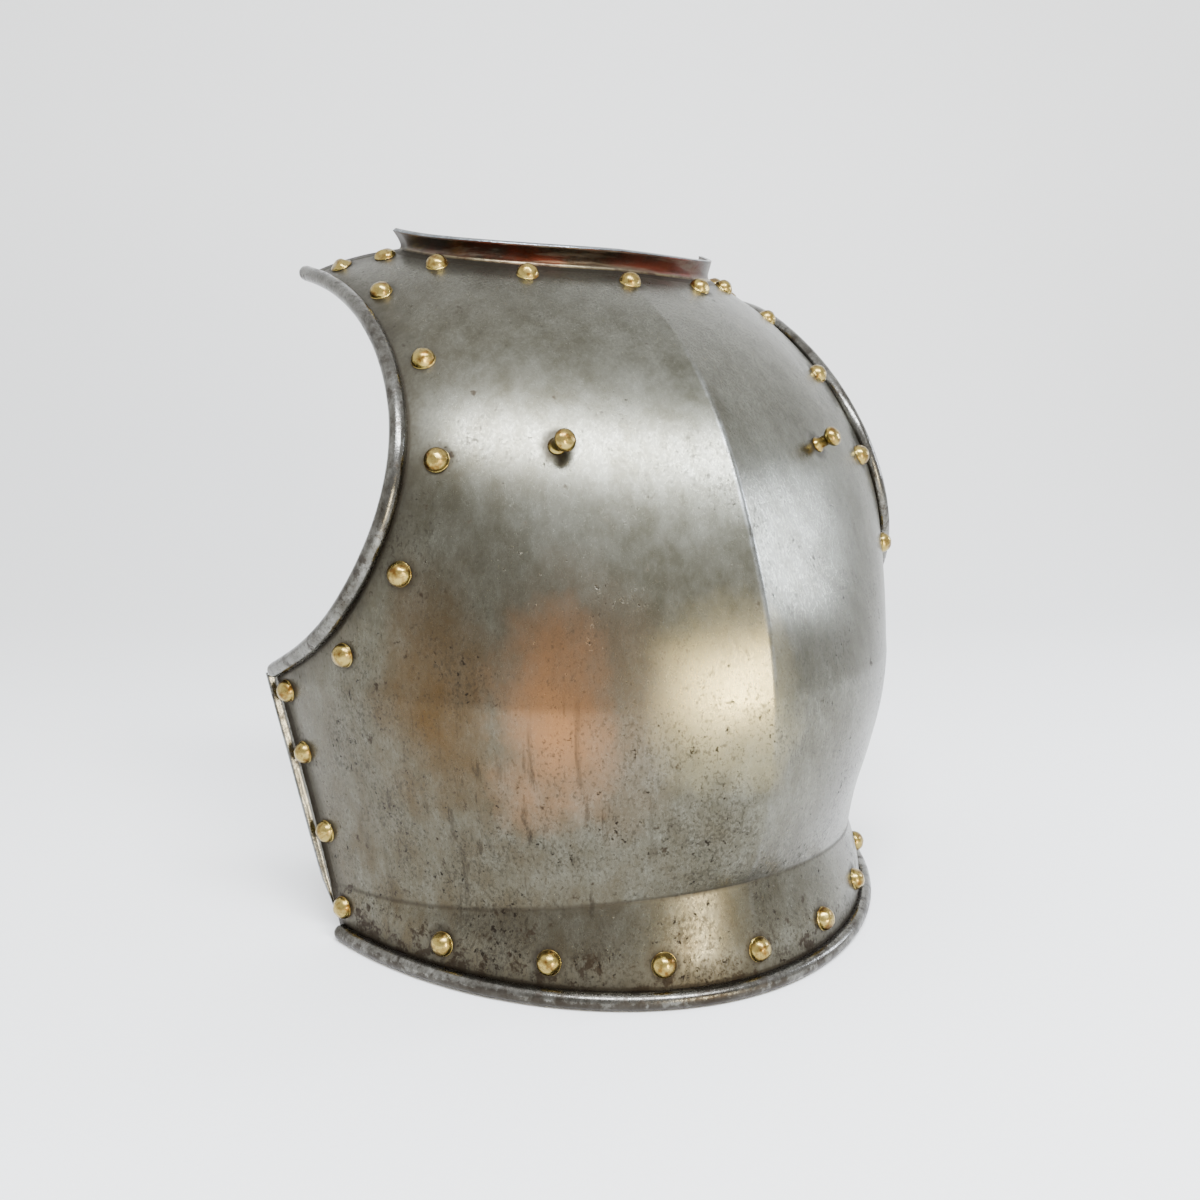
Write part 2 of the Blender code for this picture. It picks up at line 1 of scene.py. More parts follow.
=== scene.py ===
"""A cuirassier's breastplate, standing on its rolled rim on a pale studio floor.

The steel is one raised sheet with a sharp ridge down the middle, a waist line above a flared skirt,
rolled beads round the armholes and the rim, and flanges at the neck and the sides. Brass rivets run
along every border, and a brass button for a shoulder strap stands on each breast. Lengths are in
metres in the CAD's frame: +Z is up, the chest faces -Y and the wearer's left is +X.
"""
import math
import random
from collections import namedtuple

import bmesh
import bpy
import numpy as np
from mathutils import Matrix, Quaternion, Vector, noise
from mathutils.bvhtree import BVHTree
from mathutils.kdtree import KDTree


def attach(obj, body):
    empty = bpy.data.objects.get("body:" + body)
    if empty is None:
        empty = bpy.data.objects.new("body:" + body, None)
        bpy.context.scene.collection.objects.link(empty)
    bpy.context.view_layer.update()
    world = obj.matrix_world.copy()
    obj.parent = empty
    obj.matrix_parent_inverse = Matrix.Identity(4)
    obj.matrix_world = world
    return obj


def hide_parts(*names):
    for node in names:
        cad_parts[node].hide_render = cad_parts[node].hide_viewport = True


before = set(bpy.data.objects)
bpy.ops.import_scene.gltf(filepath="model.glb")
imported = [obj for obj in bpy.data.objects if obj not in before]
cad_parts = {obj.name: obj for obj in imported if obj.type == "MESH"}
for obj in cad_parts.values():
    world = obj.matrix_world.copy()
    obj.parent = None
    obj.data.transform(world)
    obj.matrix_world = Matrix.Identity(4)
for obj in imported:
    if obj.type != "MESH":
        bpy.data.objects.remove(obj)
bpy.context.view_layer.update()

# Overall sizes of the plate, as in the part's solids
PLATE_HEIGHT = 0.394
PLATE_DEPTH = 0.257
HALF_WIDTH = 0.200
STEEL = 0.0025
FRAME_SHIFT = -0.12887

# Outlines cut into the sheet: sides, armholes, neck and shoulders
SIDE_BACK_LOW = 0.634 * PLATE_DEPTH
SIDE_BACK_HIGH = 0.739 * PLATE_DEPTH
ARMHOLE_BACK = 0.9475 * PLATE_DEPTH
ARMHOLE_DEPTH = 0.558 * PLATE_DEPTH
ARMHOLE_HEIGHT = 0.618 * PLATE_HEIGHT
ARMHOLE_TOP = 0.934 * PLATE_HEIGHT
ARMHOLE_CORNER = 0.3642 * PLATE_HEIGHT
ARMHOLE_UPPER_ROUNDNESS = 0.74
ARMHOLE_LOWER_ROUNDNESS = 0.46
ARMHOLE_END_STEEPNESS = 5.0
NECK_HALF_WIDTH = 0.547 * HALF_WIDTH
NECK_CORNER = 0.538 * HALF_WIDTH
NECK_FRONT = 0.611 * PLATE_DEPTH
NECK_CENTRE = 0.940 * PLATE_DEPTH
NECK_POWER = 2.4
NECK_ROUNDNESS = 0.56
SHOULDER_SWEEP = math.radians(33)

# Rolled beads round the armholes and the rim. The hammer left them slightly uneven.
BEAD_OFF_FACE = 0.0019
BEAD_RADIUS = 0.0044
BEAD_UNEVENNESS = 0.018
BEAD_WAVES_PER_METRE = 55
BEAD_END_SHARE = 0.12

# Side flanges, which widen upwards. Growth past 1 brings them to full width below their top.
SIDE_FLANGE = 0.0052
SIDE_FLANGE_END = 0.0003
SIDE_FLANGE_LIFT = math.radians(66)
SIDE_FLANGE_FOOT = 0.013
SIDE_FLANGE_GROWTH = 1.6
SIDE_FLANGE_PULL = 0.4

# Neck flange. At its ends it has been knocked: its rise and how much of its lean is left there.
NECK_FLANGE_RISE = 0.0106
NECK_FLANGE_LEAN = 0.0034
NECK_FLANGE_COVE = 0.0042
NECK_FLANGE_LEFT_END = (0.0134, -0.1)
NECK_FLANGE_RIGHT_END = (0.0100, 1.0)
NECK_FLANGE_LEAN_PULL = 0.9
NECK_FLANGE_RISE_PULL = 0.35

# Where each finish of the sheet starts among its material slots
FLANGE_FINISH = 3
SIDE_FLANGE_FINISH = 6

# Rivets and strap buttons. The wearer's right button has been knocked over.
RIVET_HEAD_RADIUS = 0.0063
RIVET_HEAD_HEIGHT = 0.0060
SHOULDER_HEAD_SHARE = 0.68
RIVET_SIDES = 28
BUTTON_SIDES = 32
BUTTON_NECK_TOP = 0.0060
BUTTON_BALL_CENTRE = 0.0103
BUTTON_BALL_RADIUS = 0.0057
BUTTON_BALL_HALF = 0.0040
BENT_BUTTON = "right_strap_button"
BUTTON_LEAN = math.radians(30)
BUTTON_LEANS_TO = Vector((0.80, -0.35, -0.45))
SHANK_RADIUS = 0.0020
TAIL_RADIUS = 0.0036
SEAT_GAP = 0.0004
HAMMER_MARKS = 5
HAMMER_DEPTH = 0.06
HAMMER_BITE = 0.85

# A place inside the hollow: how far back it lies, and its share of the height of a fixing near it
HOLLOW_BACK = 0.10
HOLLOW_RISE = 0.8

# Mesh of the sheet, in quads. Beside the ridge and the waist line lies one more column or row, at a
# share of the even spacing.
NECK_COLUMNS = 54
SHOULDER_COLUMNS = 22
SKIRT_ROWS = 20
FLANK_ROWS = 44
CHEST_ROWS = 74
CHEST_ROW_POWER = 1.15
FAIR_ROWS = 6
BESIDE_RIDGE = 0.45
BESIDE_WAIST = 0.22
SIDE_FLANGE_STEPS = 5
NECK_FLANGE_STEPS = 12
NECK_BLEND_START = 0.45
SECTION_MIDDLE = 0.45
SMALL_STEP = 0.001
HALVINGS = 30
WELD = 0.00001
MIRROR = np.array([-1.0, 1.0, 1.0])

# Mesh of the beads. The last rings lie these far from an end, which they round off.
BEAD_SIDES = 20
ARMHOLE_BEAD_RINGS = 150
RIM_BEAD_RINGS = 260
END_RINGS = np.array([0.0004, 0.0010, 0.0019, 0.0031])

# Level sections of the sheet, from the rim up. Rises are shares of the height, backs of the depth
# and reaches of the half width. Turns are plan angles in degrees at the middle and at the flank.
Section = namedtuple(
    "Section",
    "rise back reach flank_back flank_rise ridge_turn flank_turn ridge_pull flank_pull fall",
)
CREASE = Section(0.130, 0.0768, 0.893, 0.673, 0.081, 3.0, 72, 0.34, 0.36, 0.0)
SKIRT_MIDDLE = Section(0.050, 0.0350, 0.888, 0.669, 0.048, 0.0, 74, 0.31, 0.42, 0.0)
RIM = Section(0.0, 0.0205, 0.878, 0.664, 0.0, 0.0, 76, 0.31, 0.43, 0.0)
BODY = (
    CREASE,
    Section(0.186, 0.0402, 0.917, 0.699, 0.162, 8.0, 73, 0.35, 0.38, 0.0),
    Section(0.248, 0.0146, 0.940, 0.721, 0.236, 11.0, 75, 0.38, 0.42, 0.0),
    Section(0.325, 0.0000, 0.968, 0.743, 0.320, 13.0, 76, 0.395, 0.475, 0.0),
    Section(0.396, 0.0037, 0.987, 0.750, 0.391, 15.0, 76, 0.42, 0.48, 0.0),
    Section(0.461, 0.0220, 0.996, 0.735, 0.456, 17.0, 76, 0.46, 0.45, 0.0),
    Section(0.525, 0.0549, 1.000, 0.691, 0.520, 18.0, 75, 0.50, 0.38, 0.0),
    Section(0.582, 0.0914, 0.992, 0.662, 0.577, 18.0, 74, 0.50, 0.35, 0.0),
    Section(0.675, 0.1536, 0.964, 0.644, 0.668, 17.5, 72, 0.50, 0.32, 0.0),
    Section(0.752, 0.2304, 0.940, 0.699, 0.742, 18.0, 70, 0.50, 0.33, 0.0),
    Section(0.818, 0.3182, 0.917, 0.775, 0.806, 15.0, 66, 0.48, 0.34, 0.05),
    Section(0.876, 0.4353, 0.893, 0.882, 0.854, 8.0, 61, 0.43, 0.34, 0.12),
    Section(0.933, 0.5816, 0.874, 0.940, 0.895, 2.0, 52, 0.36, 0.34, 0.25),
    Section(0.980, 0.7462, 0.865, 0.977, 0.904, 0.0, 46, 0.35, 0.34, 0.38),
    Section(1.030, 0.9290, 0.870, 1.064, 0.911, 0.0, 42, 0.34, 0.34, 0.54),
)
RIM_HEIGHT = 0.0042

# Tarnish on the chest, and one painted reflection: the last, pale straw patch stands in for a warm
# light mirrored near the ridge. All are ellipsoids with their centres and radii in metres. Each stays
# full to a share of the way out. Their outlines are broken up by a share of their radii.
ColourPatch = namedtuple("ColourPatch", "colour strength centre radii full_to")
TARNISH_AND_PAINTED_REFLECTION = (
    ColourPatch("5f4d3b", 0.70, (-0.088, -0.098, 0.152), (0.054, 0.090, 0.078), 0.00),
    ColourPatch("48361f", 0.90, (-0.143, -0.050, 0.152), (0.031, 0.070, 0.072), 0.10),
    ColourPatch("8b623e", 0.78, (-0.099, -0.088, 0.145), (0.030, 0.060, 0.064), 0.00),
    # Painted reflection: a pale straw patch standing in for a warm light mirrored near the ridge
    ColourPatch("958c6a", 0.80, (-0.022, -0.119, 0.153), (0.046, 0.070, 0.056), 0.10),
)
RAGGEDNESS = 0.9

# Grime, and painted shade in the borders' grooves and along the waist crease: the measure of what
# it gathers against, how far its edge wanders, how far out it stays full, where it ends, and how much
# of the steel it hides
Darkening = namedtuple("Darkening", "against uneven full_to ends share")
GRIME_AND_PAINTED_SHADE = (
    Darkening("rivet_gap", 0.010, 0.0066, 0.0105, 0.85),
    Darkening("border_gap", 0.034, 0.0050, 0.0170, 0.62),
    # Painted shade: a dark line in the groove beside the beads and flanges
    Darkening("border_gap", 0.0, 0.0052, 0.0074, 1.00),
    # Painted shade: a dark line along the waist crease
    Darkening("waist_gap", 0.0, 0.0004, 0.0020, 0.65),
)

# Studio: the paper's floor and backdrop, and the camera's turn round to the wearer's right
PAPER_HALF_WIDTH = 9.0
PAPER_FRONT = -5.0
PAPER_BEND_START = 0.9
PAPER_BEND_RADIUS = 0.9
PAPER_BEND_STEPS = 12
PAPER_TOP = 6.0
CAMERA_TURN = math.radians(-28.664)
CAMERA_TILT = math.radians(9.203)
CHEST_MIDDLE = Vector((0.0, -0.05, 0.20))
LIGHT_DISTANCE = 1.5


def unit(vectors):
    """Vectors scaled to a length of 1."""
    return vectors / np.linalg.norm(vectors, axis=-1, keepdims=True)


def section_handles(section):
    """The four control points of a section's curve."""
    rise = RIM_HEIGHT if section is RIM else section.rise * PLATE_HEIGHT
    flank_rise = RIM_HEIGHT if section is RIM else section.flank_rise * PLATE_HEIGHT
    start = np.array([0.0, section.back * PLATE_DEPTH, rise])
    end = np.array([section.reach * HALF_WIDTH, section.flank_back * PLATE_DEPTH, flank_rise])
    chord = np.linalg.norm(end - start)
    ridge = math.radians(section.ridge_turn)
    flank = math.radians(section.flank_turn)
    leave = np.array([math.cos(ridge), math.sin(ridge), 0.0]) * section.ridge_pull * chord
    arrive = np.array([math.cos(flank), math.sin(flank), -section.fall]) * section.flank_pull * chord
    return np.array([start, start + leave, end - arrive, end])


class Sheet:
    """The smooth outer face through level sections. across and level both run from 0 to 1."""

    def __init__(self, sections):
        self.handles = np.array([section_handles(section) for section in sections])
        middles = self.section_points(np.array([SECTION_MIDDLE]))[:, 0]
        lengths = np.linalg.norm(np.diff(middles, axis=0), axis=1)
        self.knots = np.concatenate(([0.0], np.cumsum(lengths))) / lengths.sum()

    def section_points(self, across):
        """Points of every section at shares of the way across."""
        s = across[None, :, None]
        a, b, c, d = (self.handles[:, i][:, None, :] for i in range(4))
        return (1 - s) ** 3 * a + 3 * (1 - s) ** 2 * s * b + 3 * (1 - s) * s * s * c + s ** 3 * d

    def points(self, across, level):
        """Points of the face, by cubic pieces between the sections."""
        rows = self.section_points(across)
        steps = np.diff(self.knots)[:, None, None]
        slopes = np.diff(rows, axis=0) / steps
        tangents = np.empty_like(rows)
        tangents[1:-1] = (slopes[:-1] * steps[1:] + slopes[1:] * steps[:-1]) / (steps[1:] + steps[:-1])
        tangents[0] = 1.5 * slopes[0] - 0.5 * tangents[1]
        tangents[-1] = slopes[-1]
        low = np.clip(np.searchsorted(self.knots, level) - 1, 0, len(self.knots) - 2)
        step = (self.knots[low + 1] - self.knots[low])[:, None]
        t = (level - self.knots[low])[:, None] / step
        each = np.arange(len(across))
        return (
            (2 * t ** 3 - 3 * t * t + 1) * rows[low, each]
            + (t ** 3 - 2 * t * t + t) * step * tangents[low, each]
            + (3 * t * t - 2 * t ** 3) * rows[low + 1, each]
            + (t ** 3 - t * t) * step * tangents[low + 1, each]
        )

    def normals(self, across, level):
        """Unit normals of the face, outwards on the wearer's left half."""
        beside = self.points(across + SMALL_STEP, level) - self.points(across - SMALL_STEP, level)
        above = self.points(across, np.minimum(level + SMALL_STEP, 1))
        return unit(np.cross(beside, above - self.points(across, np.maximum(level - SMALL_STEP, 0))))


def solve(low, high, is_past):
    """Halve the spans from low to high until each holds the place where is_past turns true."""
    for _ in range(HALVINGS):
        middle = (low + high) / 2
        past = is_past(middle)
        high = np.where(past, middle, high)
        low = np.where(past, low, middle)
    return (low + high) / 2


def side_line(height):
    """How far back the straight side edge lies at a height."""
    share = (height - RIM_HEIGHT) / (ARMHOLE_CORNER - RIM_HEIGHT)
    return SIDE_BACK_LOW + (SIDE_BACK_HIGH - SIDE_BACK_LOW) * share


def armhole_line(height):
    """How far back the armhole's edge lies at a height, behind which the plate is cut away."""
    up = np.clip((height - ARMHOLE_HEIGHT) / (ARMHOLE_TOP - ARMHOLE_HEIGHT), 0, 1)
    down = np.clip((ARMHOLE_HEIGHT - height) / (ARMHOLE_HEIGHT - ARMHOLE_CORNER), 0, 1)
    upper = (1 - up ** 2) ** ARMHOLE_UPPER_ROUNDNESS
    lower = (1 - down ** 2) ** ARMHOLE_LOWER_ROUNDNESS
    back = ARMHOLE_BACK - ARMHOLE_DEPTH * np.minimum(upper, lower)
    past = np.maximum(height - ARMHOLE_TOP, 0) + np.maximum(ARMHOLE_CORNER - height, 0)
    return back + past * ARMHOLE_END_STEEPNESS


def edge_line(height):
    """How far back the side edge lies, or the armhole's above its corner."""
    armhole = armhole_line(height)
    return np.where(height > ARMHOLE_HEIGHT, armhole, np.minimum(side_line(height), armhole))


def neck_line(across):
    """How far back the neck's edge, and past its corner the shoulder's, lies at a distance across."""
    share = np.minimum(across, NECK_CORNER) / NECK_HALF_WIDTH
    inside = (1 - share ** NECK_POWER) ** NECK_ROUNDNESS
    neck = NECK_CENTRE - (NECK_CENTRE - NECK_FRONT) * inside
    return neck + np.maximum(across - NECK_CORNER, 0) * math.tan(SHOULDER_SWEEP)


def edge_share(sheet, level):
    """How far across each level of a sheet its side or armhole edge comes."""

    def past_edge(across):
        place = sheet.points(across, level)
        return place[:, 1] > edge_line(place[:, 2])

    return solve(np.zeros_like(level), np.ones_like(level), past_edge)


def plate_rows(sheet, column, level):
    """Points and normals whose column is a share of the way from the middle to the edge."""
    across = column * edge_share(sheet, level)
    return sheet.points(across, level), sheet.normals(across, level)


def top_levels(body, column):
    """The level at which each column meets the neck's or the shoulder's edge."""

    def past_top(level):
        place = body.points(column * edge_share(body, level), level)
        return place[:, 1] > neck_line(place[:, 0])

    half = np.full(len(column), 0.5)
    return solve(half, np.ones(len(column)), past_top)


class HalfPlate:
    """The left half of the outer face: its grid of points and normals, and its border lines."""

    def __init__(self):
        skirt = Sheet((RIM, SKIRT_MIDDLE, CREASE))
        body = Sheet(BODY)
        self.columns, self.middle_top = self.spread_columns(body)
        points = []
        normals = []
        for share in self.close_at_end(SKIRT_ROWS)[:-1]:
            place, normal = plate_rows(skirt, self.columns, np.full(len(self.columns), share))
            points.append(place)
            normals.append(normal)
        corner = self.armhole_row(body)
        flank = corner * (1 - self.close_at_end(FLANK_ROWS)[::-1])
        chest = corner + (1 - corner) * np.linspace(0, 1, CHEST_ROWS + 1)[1:] ** CHEST_ROW_POWER
        top = top_levels(body, self.columns)
        for row in np.concatenate((flank, chest)):
            blend = max(row - NECK_BLEND_START, 0) / (1 - NECK_BLEND_START)
            level = row * self.middle_top + (top - self.middle_top) * blend ** 2
            place, normal = plate_rows(body, self.columns, level)
            points.append(place)
            normals.append(normal)
        self.corner_row = SKIRT_ROWS + FLANK_ROWS
        self.points = self.faired(np.array(points))
        self.normals = unit(self.faired(np.array(normals)))
        self.points[:, 0, 0] = 0
        self.points[:, :, 1] += FRAME_SHIFT

    def faired(self, grid):
        """The grid with its chest rows evened out, so that the armhole runs in one fair curve."""
        reach = 3 * FAIR_ROWS
        weights = np.exp(-0.5 * (np.arange(-reach, reach + 1) / FAIR_ROWS) ** 2)
        weights /= weights.sum()
        chest = grid[self.corner_row :]
        padded = np.pad(chest, ((reach, reach), (0, 0), (0, 0)), "reflect", reflect_type="odd")
        evened = sum(weight * padded[i : i + len(chest)] for i, weight in enumerate(weights))
        return np.concatenate((grid[: self.corner_row], evened))

    def close_at_end(self, count):
        """Even shares from 0 to 1 with one more close to 1, so that the waist line stays crisp."""
        even = np.linspace(0, 1, count)
        return np.concatenate((even[:-1], [1 - BESIDE_WAIST / count, 1.0]))

    def spread_columns(self, body):
        """Columns that meet the neck's corner, with one close to the ridge, and the middle's top level."""
        def past_corner(column):
            level = top_levels(body, column)
            return body.points(column * edge_share(body, level), level)[:, 0] > NECK_CORNER

        corner = float(solve(np.zeros(1), np.ones(1), past_corner)[0])
        neck = np.linspace(0, corner, NECK_COLUMNS)
        beside_ridge = [neck[1] * BESIDE_RIDGE]
        shoulder = np.linspace(corner, 1, SHOULDER_COLUMNS + 1)
        columns = np.concatenate((neck[:1], beside_ridge, neck[1:], shoulder[1:]))
        return columns, float(top_levels(body, np.zeros(1))[0])

    def armhole_row(self, body):
        """The row that runs into the corner between the side edge and the armhole."""

        def past_corner(row):
            edge, _ = plate_rows(body, np.ones(1), row * self.middle_top)
            return armhole_line(edge[:, 2]) < side_line(edge[:, 2])

        return float(solve(np.zeros(1), np.full(1, NECK_BLEND_START), past_corner)[0])


def along(points):
    """Unit directions along a line of points."""
    ahead = np.concatenate((points[1:], points[-1:]))
    behind = np.concatenate((points[:1], points[:-1]))
    return unit(ahead - behind)


def bent(start, leave, arrive, end, count):
    """Points of a bent border, one line for each step out from the sheet."""
    for step in range(1, count + 1):
        t = step / count
        yield (
            (1 - t) ** 3 * start
            + 3 * (1 - t) ** 2 * t * (start + leave)
            + 3 * (1 - t) * t * t * (end - arrive)
            + t ** 3 * end
        )


def bridge(mesh, near, far, side, finish=0):
    """Faces between two lines of vertices, near being lower or nearer the middle of the plate."""
    for (a, b), (c, d) in zip(zip(near, near[1:]), zip(far, far[1:])):
        corners = (a, b, d, c) if side > 0 else (c, d, b, a)
        mesh.faces.new(corners).material_index = finish


def add_line(mesh, points, side):
    """Vertices along a line of points, on the wearer's left where side is 1, or the right at -1."""
    return [mesh.verts.new(point) for point in points * np.array([side, 1.0, 1.0])]


def add_side_flange(mesh, half, side, grid):
    """The flange along a side edge, bent outwards from it."""
    corner = half.corner_row
    edge = half.points[: corner + 1, -1]
    foot = int(np.argmax(edge[:, 2] > SIDE_FLANGE_FOOT))
    edge = edge[foot:]
    normal = half.normals[foot : corner + 1, -1]
    out = unit(np.cross(along(edge), normal))
    share = np.minimum(np.linspace(0, SIDE_FLANGE_GROWTH, len(edge)), 1)[:, None]
    width = SIDE_FLANGE_END + (SIDE_FLANGE - SIDE_FLANGE_END) * share * (2 - share)
    lifted = out * math.cos(SIDE_FLANGE_LIFT) + normal * math.sin(SIDE_FLANGE_LIFT)
    leave = out * width * SIDE_FLANGE_PULL
    arrive = lifted * width * SIDE_FLANGE_PULL
    inner = [row[-1] for row in grid[foot : corner + 1]]
    for line in bent(edge, leave, arrive, edge + lifted * width, SIDE_FLANGE_STEPS):
        outer = add_line(mesh, line, side)
        bridge(mesh, outer, inner, side, SIDE_FLANGE_FINISH)
        inner = outer


def add_neck_flange(mesh, half, side, grid, flange_end):
    """The neck flange, which leaves the sheet in a cove and leans forwards over the chest."""
    neck = NECK_COLUMNS + 1
    edge = half.points[-1, :neck]
    forward = np.cross(along(edge), (0, 0, 1))
    forward[0] = (0, -1, 0)
    forward = unit(forward)
    back = unit(np.cross(half.normals[-1, :neck], along(edge)))
    back[0, 0] = 0
    end_rise, end_lean = flange_end
    share = np.linspace(0, 1, neck)[:, None] ** 2
    rise = (NECK_FLANGE_RISE + (end_rise - NECK_FLANGE_RISE) * share) * np.array([0, 0, 1.0])
    lean = forward * NECK_FLANGE_LEAN * (1 + (end_lean - 1) * share)
    leave = back * NECK_FLANGE_COVE
    arrive = lean * NECK_FLANGE_LEAN_PULL + rise * NECK_FLANGE_RISE_PULL
    inner = grid[-1][:neck]
    for line in bent(edge, leave, arrive, edge + lean + rise, NECK_FLANGE_STEPS):
        outer = add_line(mesh, line, side)
        bridge(mesh, inner, outer, side, FLANGE_FINISH)
        inner = outer


def add_half(mesh, half, side, flange_end):
    """One half of the sheet with its side and neck flanges."""
    grid = [add_line(mesh, row, side) for row in half.points]
    for low, high in zip(grid, grid[1:]):
        bridge(mesh, low, high, side)
    add_side_flange(mesh, half, side, grid)
    add_neck_flange(mesh, half, side, grid, flange_end)


def whole_sheet(half):
    """Both halves welded down the middle, as one open mesh."""
    mesh = bmesh.new()
    add_half(mesh, half, 1, NECK_FLANGE_LEFT_END)
    add_half(mesh, half, -1, NECK_FLANGE_RIGHT_END)
    middle = [vertex for vertex in mesh.verts if abs(vertex.co.x) < WELD]
    bmesh.ops.remove_doubles(mesh, verts=middle, dist=WELD)
    return mesh


def to_object(name, mesh):
    """A new smooth object from a bmesh, which it frees."""
    data = bpy.data.meshes.new(name)
    mesh.to_mesh(data)
    mesh.free()
    data.shade_smooth()
    made = bpy.data.objects.new(name, data)
    bpy.context.scene.collection.objects.link(made)
    return made


def to_piece(name, mesh):
    """A piece of the breastplate, which is all one body, from a bmesh."""
    piece = to_object(name, mesh)
    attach(piece, "root")
    return piece


def apply_modifiers(piece):
    """Keep what the modifiers make as the piece's own mesh."""
    bpy.context.view_layer.update()
    depsgraph = bpy.context.evaluated_depsgraph_get()
    shaped = bpy.data.meshes.new_from_object(piece.evaluated_get(depsgraph))
    piece.modifiers.clear()
    piece.data = shaped


def raised_sheet(half):
    """The steel sheet, 2.5 mm thick, with its own finishes inside, on its cut edge and at the neck."""
    sheet = to_piece("plate_sheet", whole_sheet(half))
    thickness = sheet.modifiers.new("thickness", "SOLIDIFY")
    thickness.thickness = STEEL
    thickness.offset = -1
    thickness.use_even_offset = True
    thickness.material_offset = 1
    thickness.material_offset_rim = 2
    for finish in (worn_steel, flange_steel, bead_steel):
        for face_finish in (finish, inner_steel, edge_steel):
            sheet.data.materials.append(face_finish)
    apply_modifiers(sheet)
    return sheet


def bead(name, centres, sideways, upwards):
    """A closed round bead along a line, hammered slightly uneven and rounded at both ends."""
    mesh = bmesh.new()
    lengths = np.concatenate(([0.0], np.cumsum(np.linalg.norm(np.diff(centres, axis=0), axis=1))))
    rings = []
    for place, side, up, far in zip(centres, sideways, upwards, lengths):
        inset = min(far, lengths[-1] - far, BEAD_RADIUS) / BEAD_RADIUS
        round_off = math.sqrt(1 - (1 - inset) ** 2)
        uneven = 1 + BEAD_UNEVENNESS * noise.noise(Vector(place) * BEAD_WAVES_PER_METRE)
        size = BEAD_RADIUS * uneven * max(round_off, BEAD_END_SHARE)
        ring = []
        for step in range(BEAD_SIDES):
            turn = 2 * math.pi * step / BEAD_SIDES
            point = place + (side * math.cos(turn) + up * math.sin(turn)) * size
            point[2] = max(point[2], 0.0)
            ring.append(mesh.verts.new(point))
        rings.append(ring)
    for low, high in zip(rings, rings[1:]):
        for step in range(BEAD_SIDES):
            after = (step + 1) % BEAD_SIDES
            mesh.faces.new((low[step], low[after], high[after], high[step]))
    mesh.faces.new(rings[0][::-1])
    mesh.faces.new(rings[-1])
    bmesh.ops.recalc_face_normals(mesh, faces=mesh.faces)
    piece = to_piece(name, mesh)
    piece.data.materials.append(bead_steel)
    return piece


def resampled(line, *others, count):
    """A line of points, and what belongs to them, at even spacing with more at both ends."""
    lengths = np.concatenate(([0.0], np.cumsum(np.linalg.norm(np.diff(line, axis=0), axis=1))))
    even = np.linspace(0, lengths[-1], count)
    places = np.unique(np.concatenate((even, END_RINGS, lengths[-1] - END_RINGS)))
    made = []
    for values in (line, *others):
        made.append(np.stack([np.interp(places, lengths, values[:, i]) for i in range(3)], axis=1))
    return made


def armhole_beads(half):
    """The rolled armhole borders, from the corner over the flank to the shoulder's tip."""
    edge = half.points[half.corner_row :, -1]
    normal = half.normals[half.corner_row :, -1]
    edge, normal = resampled(edge, normal, count=ARMHOLE_BEAD_RINGS)
    normal = unit(normal)
    out = unit(np.cross(along(edge), normal))
    centres = edge + normal * BEAD_OFF_FACE
    pieces = [bead("left_armhole_bead", centres, out, normal)]
    pieces.append(bead("right_armhole_bead", centres * MIRROR, out * MIRROR, normal * MIRROR))
    return pieces


def rim_bead(half):
    """The rolled rim, whose foot is flat where it stands."""
    edge = half.points[0]
    line = np.concatenate((edge[::-1] * MIRROR, edge[1:]))
    (line,) = resampled(line, count=RIM_BEAD_RINGS)
    out = unit(np.cross(along(line), (0, 0, 1)))
    up = np.tile(np.array([0.0, 0.0, 1.0]), (len(line), 1))
    return bead("rim_bead", line + out * BEAD_OFF_FACE, out, up)


def turned_solid(profile, sides):
    """A bmesh turned about Z from a profile of (radius, height) points, top to bottom."""
    mesh = bmesh.new()
    rings = []
    for radius, height in profile:
        if radius == 0:
            rings.append([mesh.verts.new((0, 0, height))])
            continue
        ring = []
        for step in range(sides):
            turn = 2 * math.pi * step / sides
            ring.append(mesh.verts.new((radius * math.cos(turn), radius * math.sin(turn), height)))
        rings.append(ring)
    for high, low in zip(rings, rings[1:]):
        for step in range(sides):
            after = (step + 1) % sides
            corners = [high[step % len(high)], low[step % len(low)]]
            corners += [low[after % len(low)], high[after % len(high)]]
            mesh.faces.new(list(dict.fromkeys(corners)))
    return mesh


def tail():
    """The hammered tail on the inside of the plate, after a hidden shank."""
    depth = STEEL + SEAT_GAP
    return [
        (SHANK_RADIUS, -SEAT_GAP),
        (SHANK_RADIUS, -depth),
        (TAIL_RADIUS, -depth),
        (TAIL_RADIUS * 0.98, -depth - 0.0005),
        (TAIL_RADIUS * 0.74, -depth - 0.0012),
        (TAIL_RADIUS * 0.35, -depth - 0.0015),
        (0, -depth - 0.0015),
    ]


def rivet_profile(height):
    """A round head over a thin foot."""
    dome = []
    for turn in (*range(0, 82, 9), 88):
        angle = math.radians(turn)
        dome.append((RIVET_HEAD_RADIUS * math.sin(angle), height * math.cos(angle)))
    foot = [(RIVET_HEAD_RADIUS * 1.01, SEAT_GAP), (RIVET_HEAD_RADIUS * 0.97, -SEAT_GAP)]
    return dome + foot + tail()


def button_profile():
    """A flared foot, a slim neck and a flattened ball with a worn tip."""
    ball = [(0, 0.0143), (0.0012, 0.0142), (0.0021, 0.0139)]
    for turn in range(28, 142, 9):
        angle = math.radians(turn)
        rise = BUTTON_BALL_CENTRE + BUTTON_BALL_HALF * math.cos(angle)
        ball.append((BUTTON_BALL_RADIUS * math.sin(angle), rise))
    neck = [(0.0032, 0.0066), (0.0031, 0.0050), (0.0032, 0.0030), (0.0036, 0.0017), (0.0044, 0.0010)]
    foot = [(0.0046, SEAT_GAP), (0.0045, -SEAT_GAP)]
    return ball + neck + foot + tail()


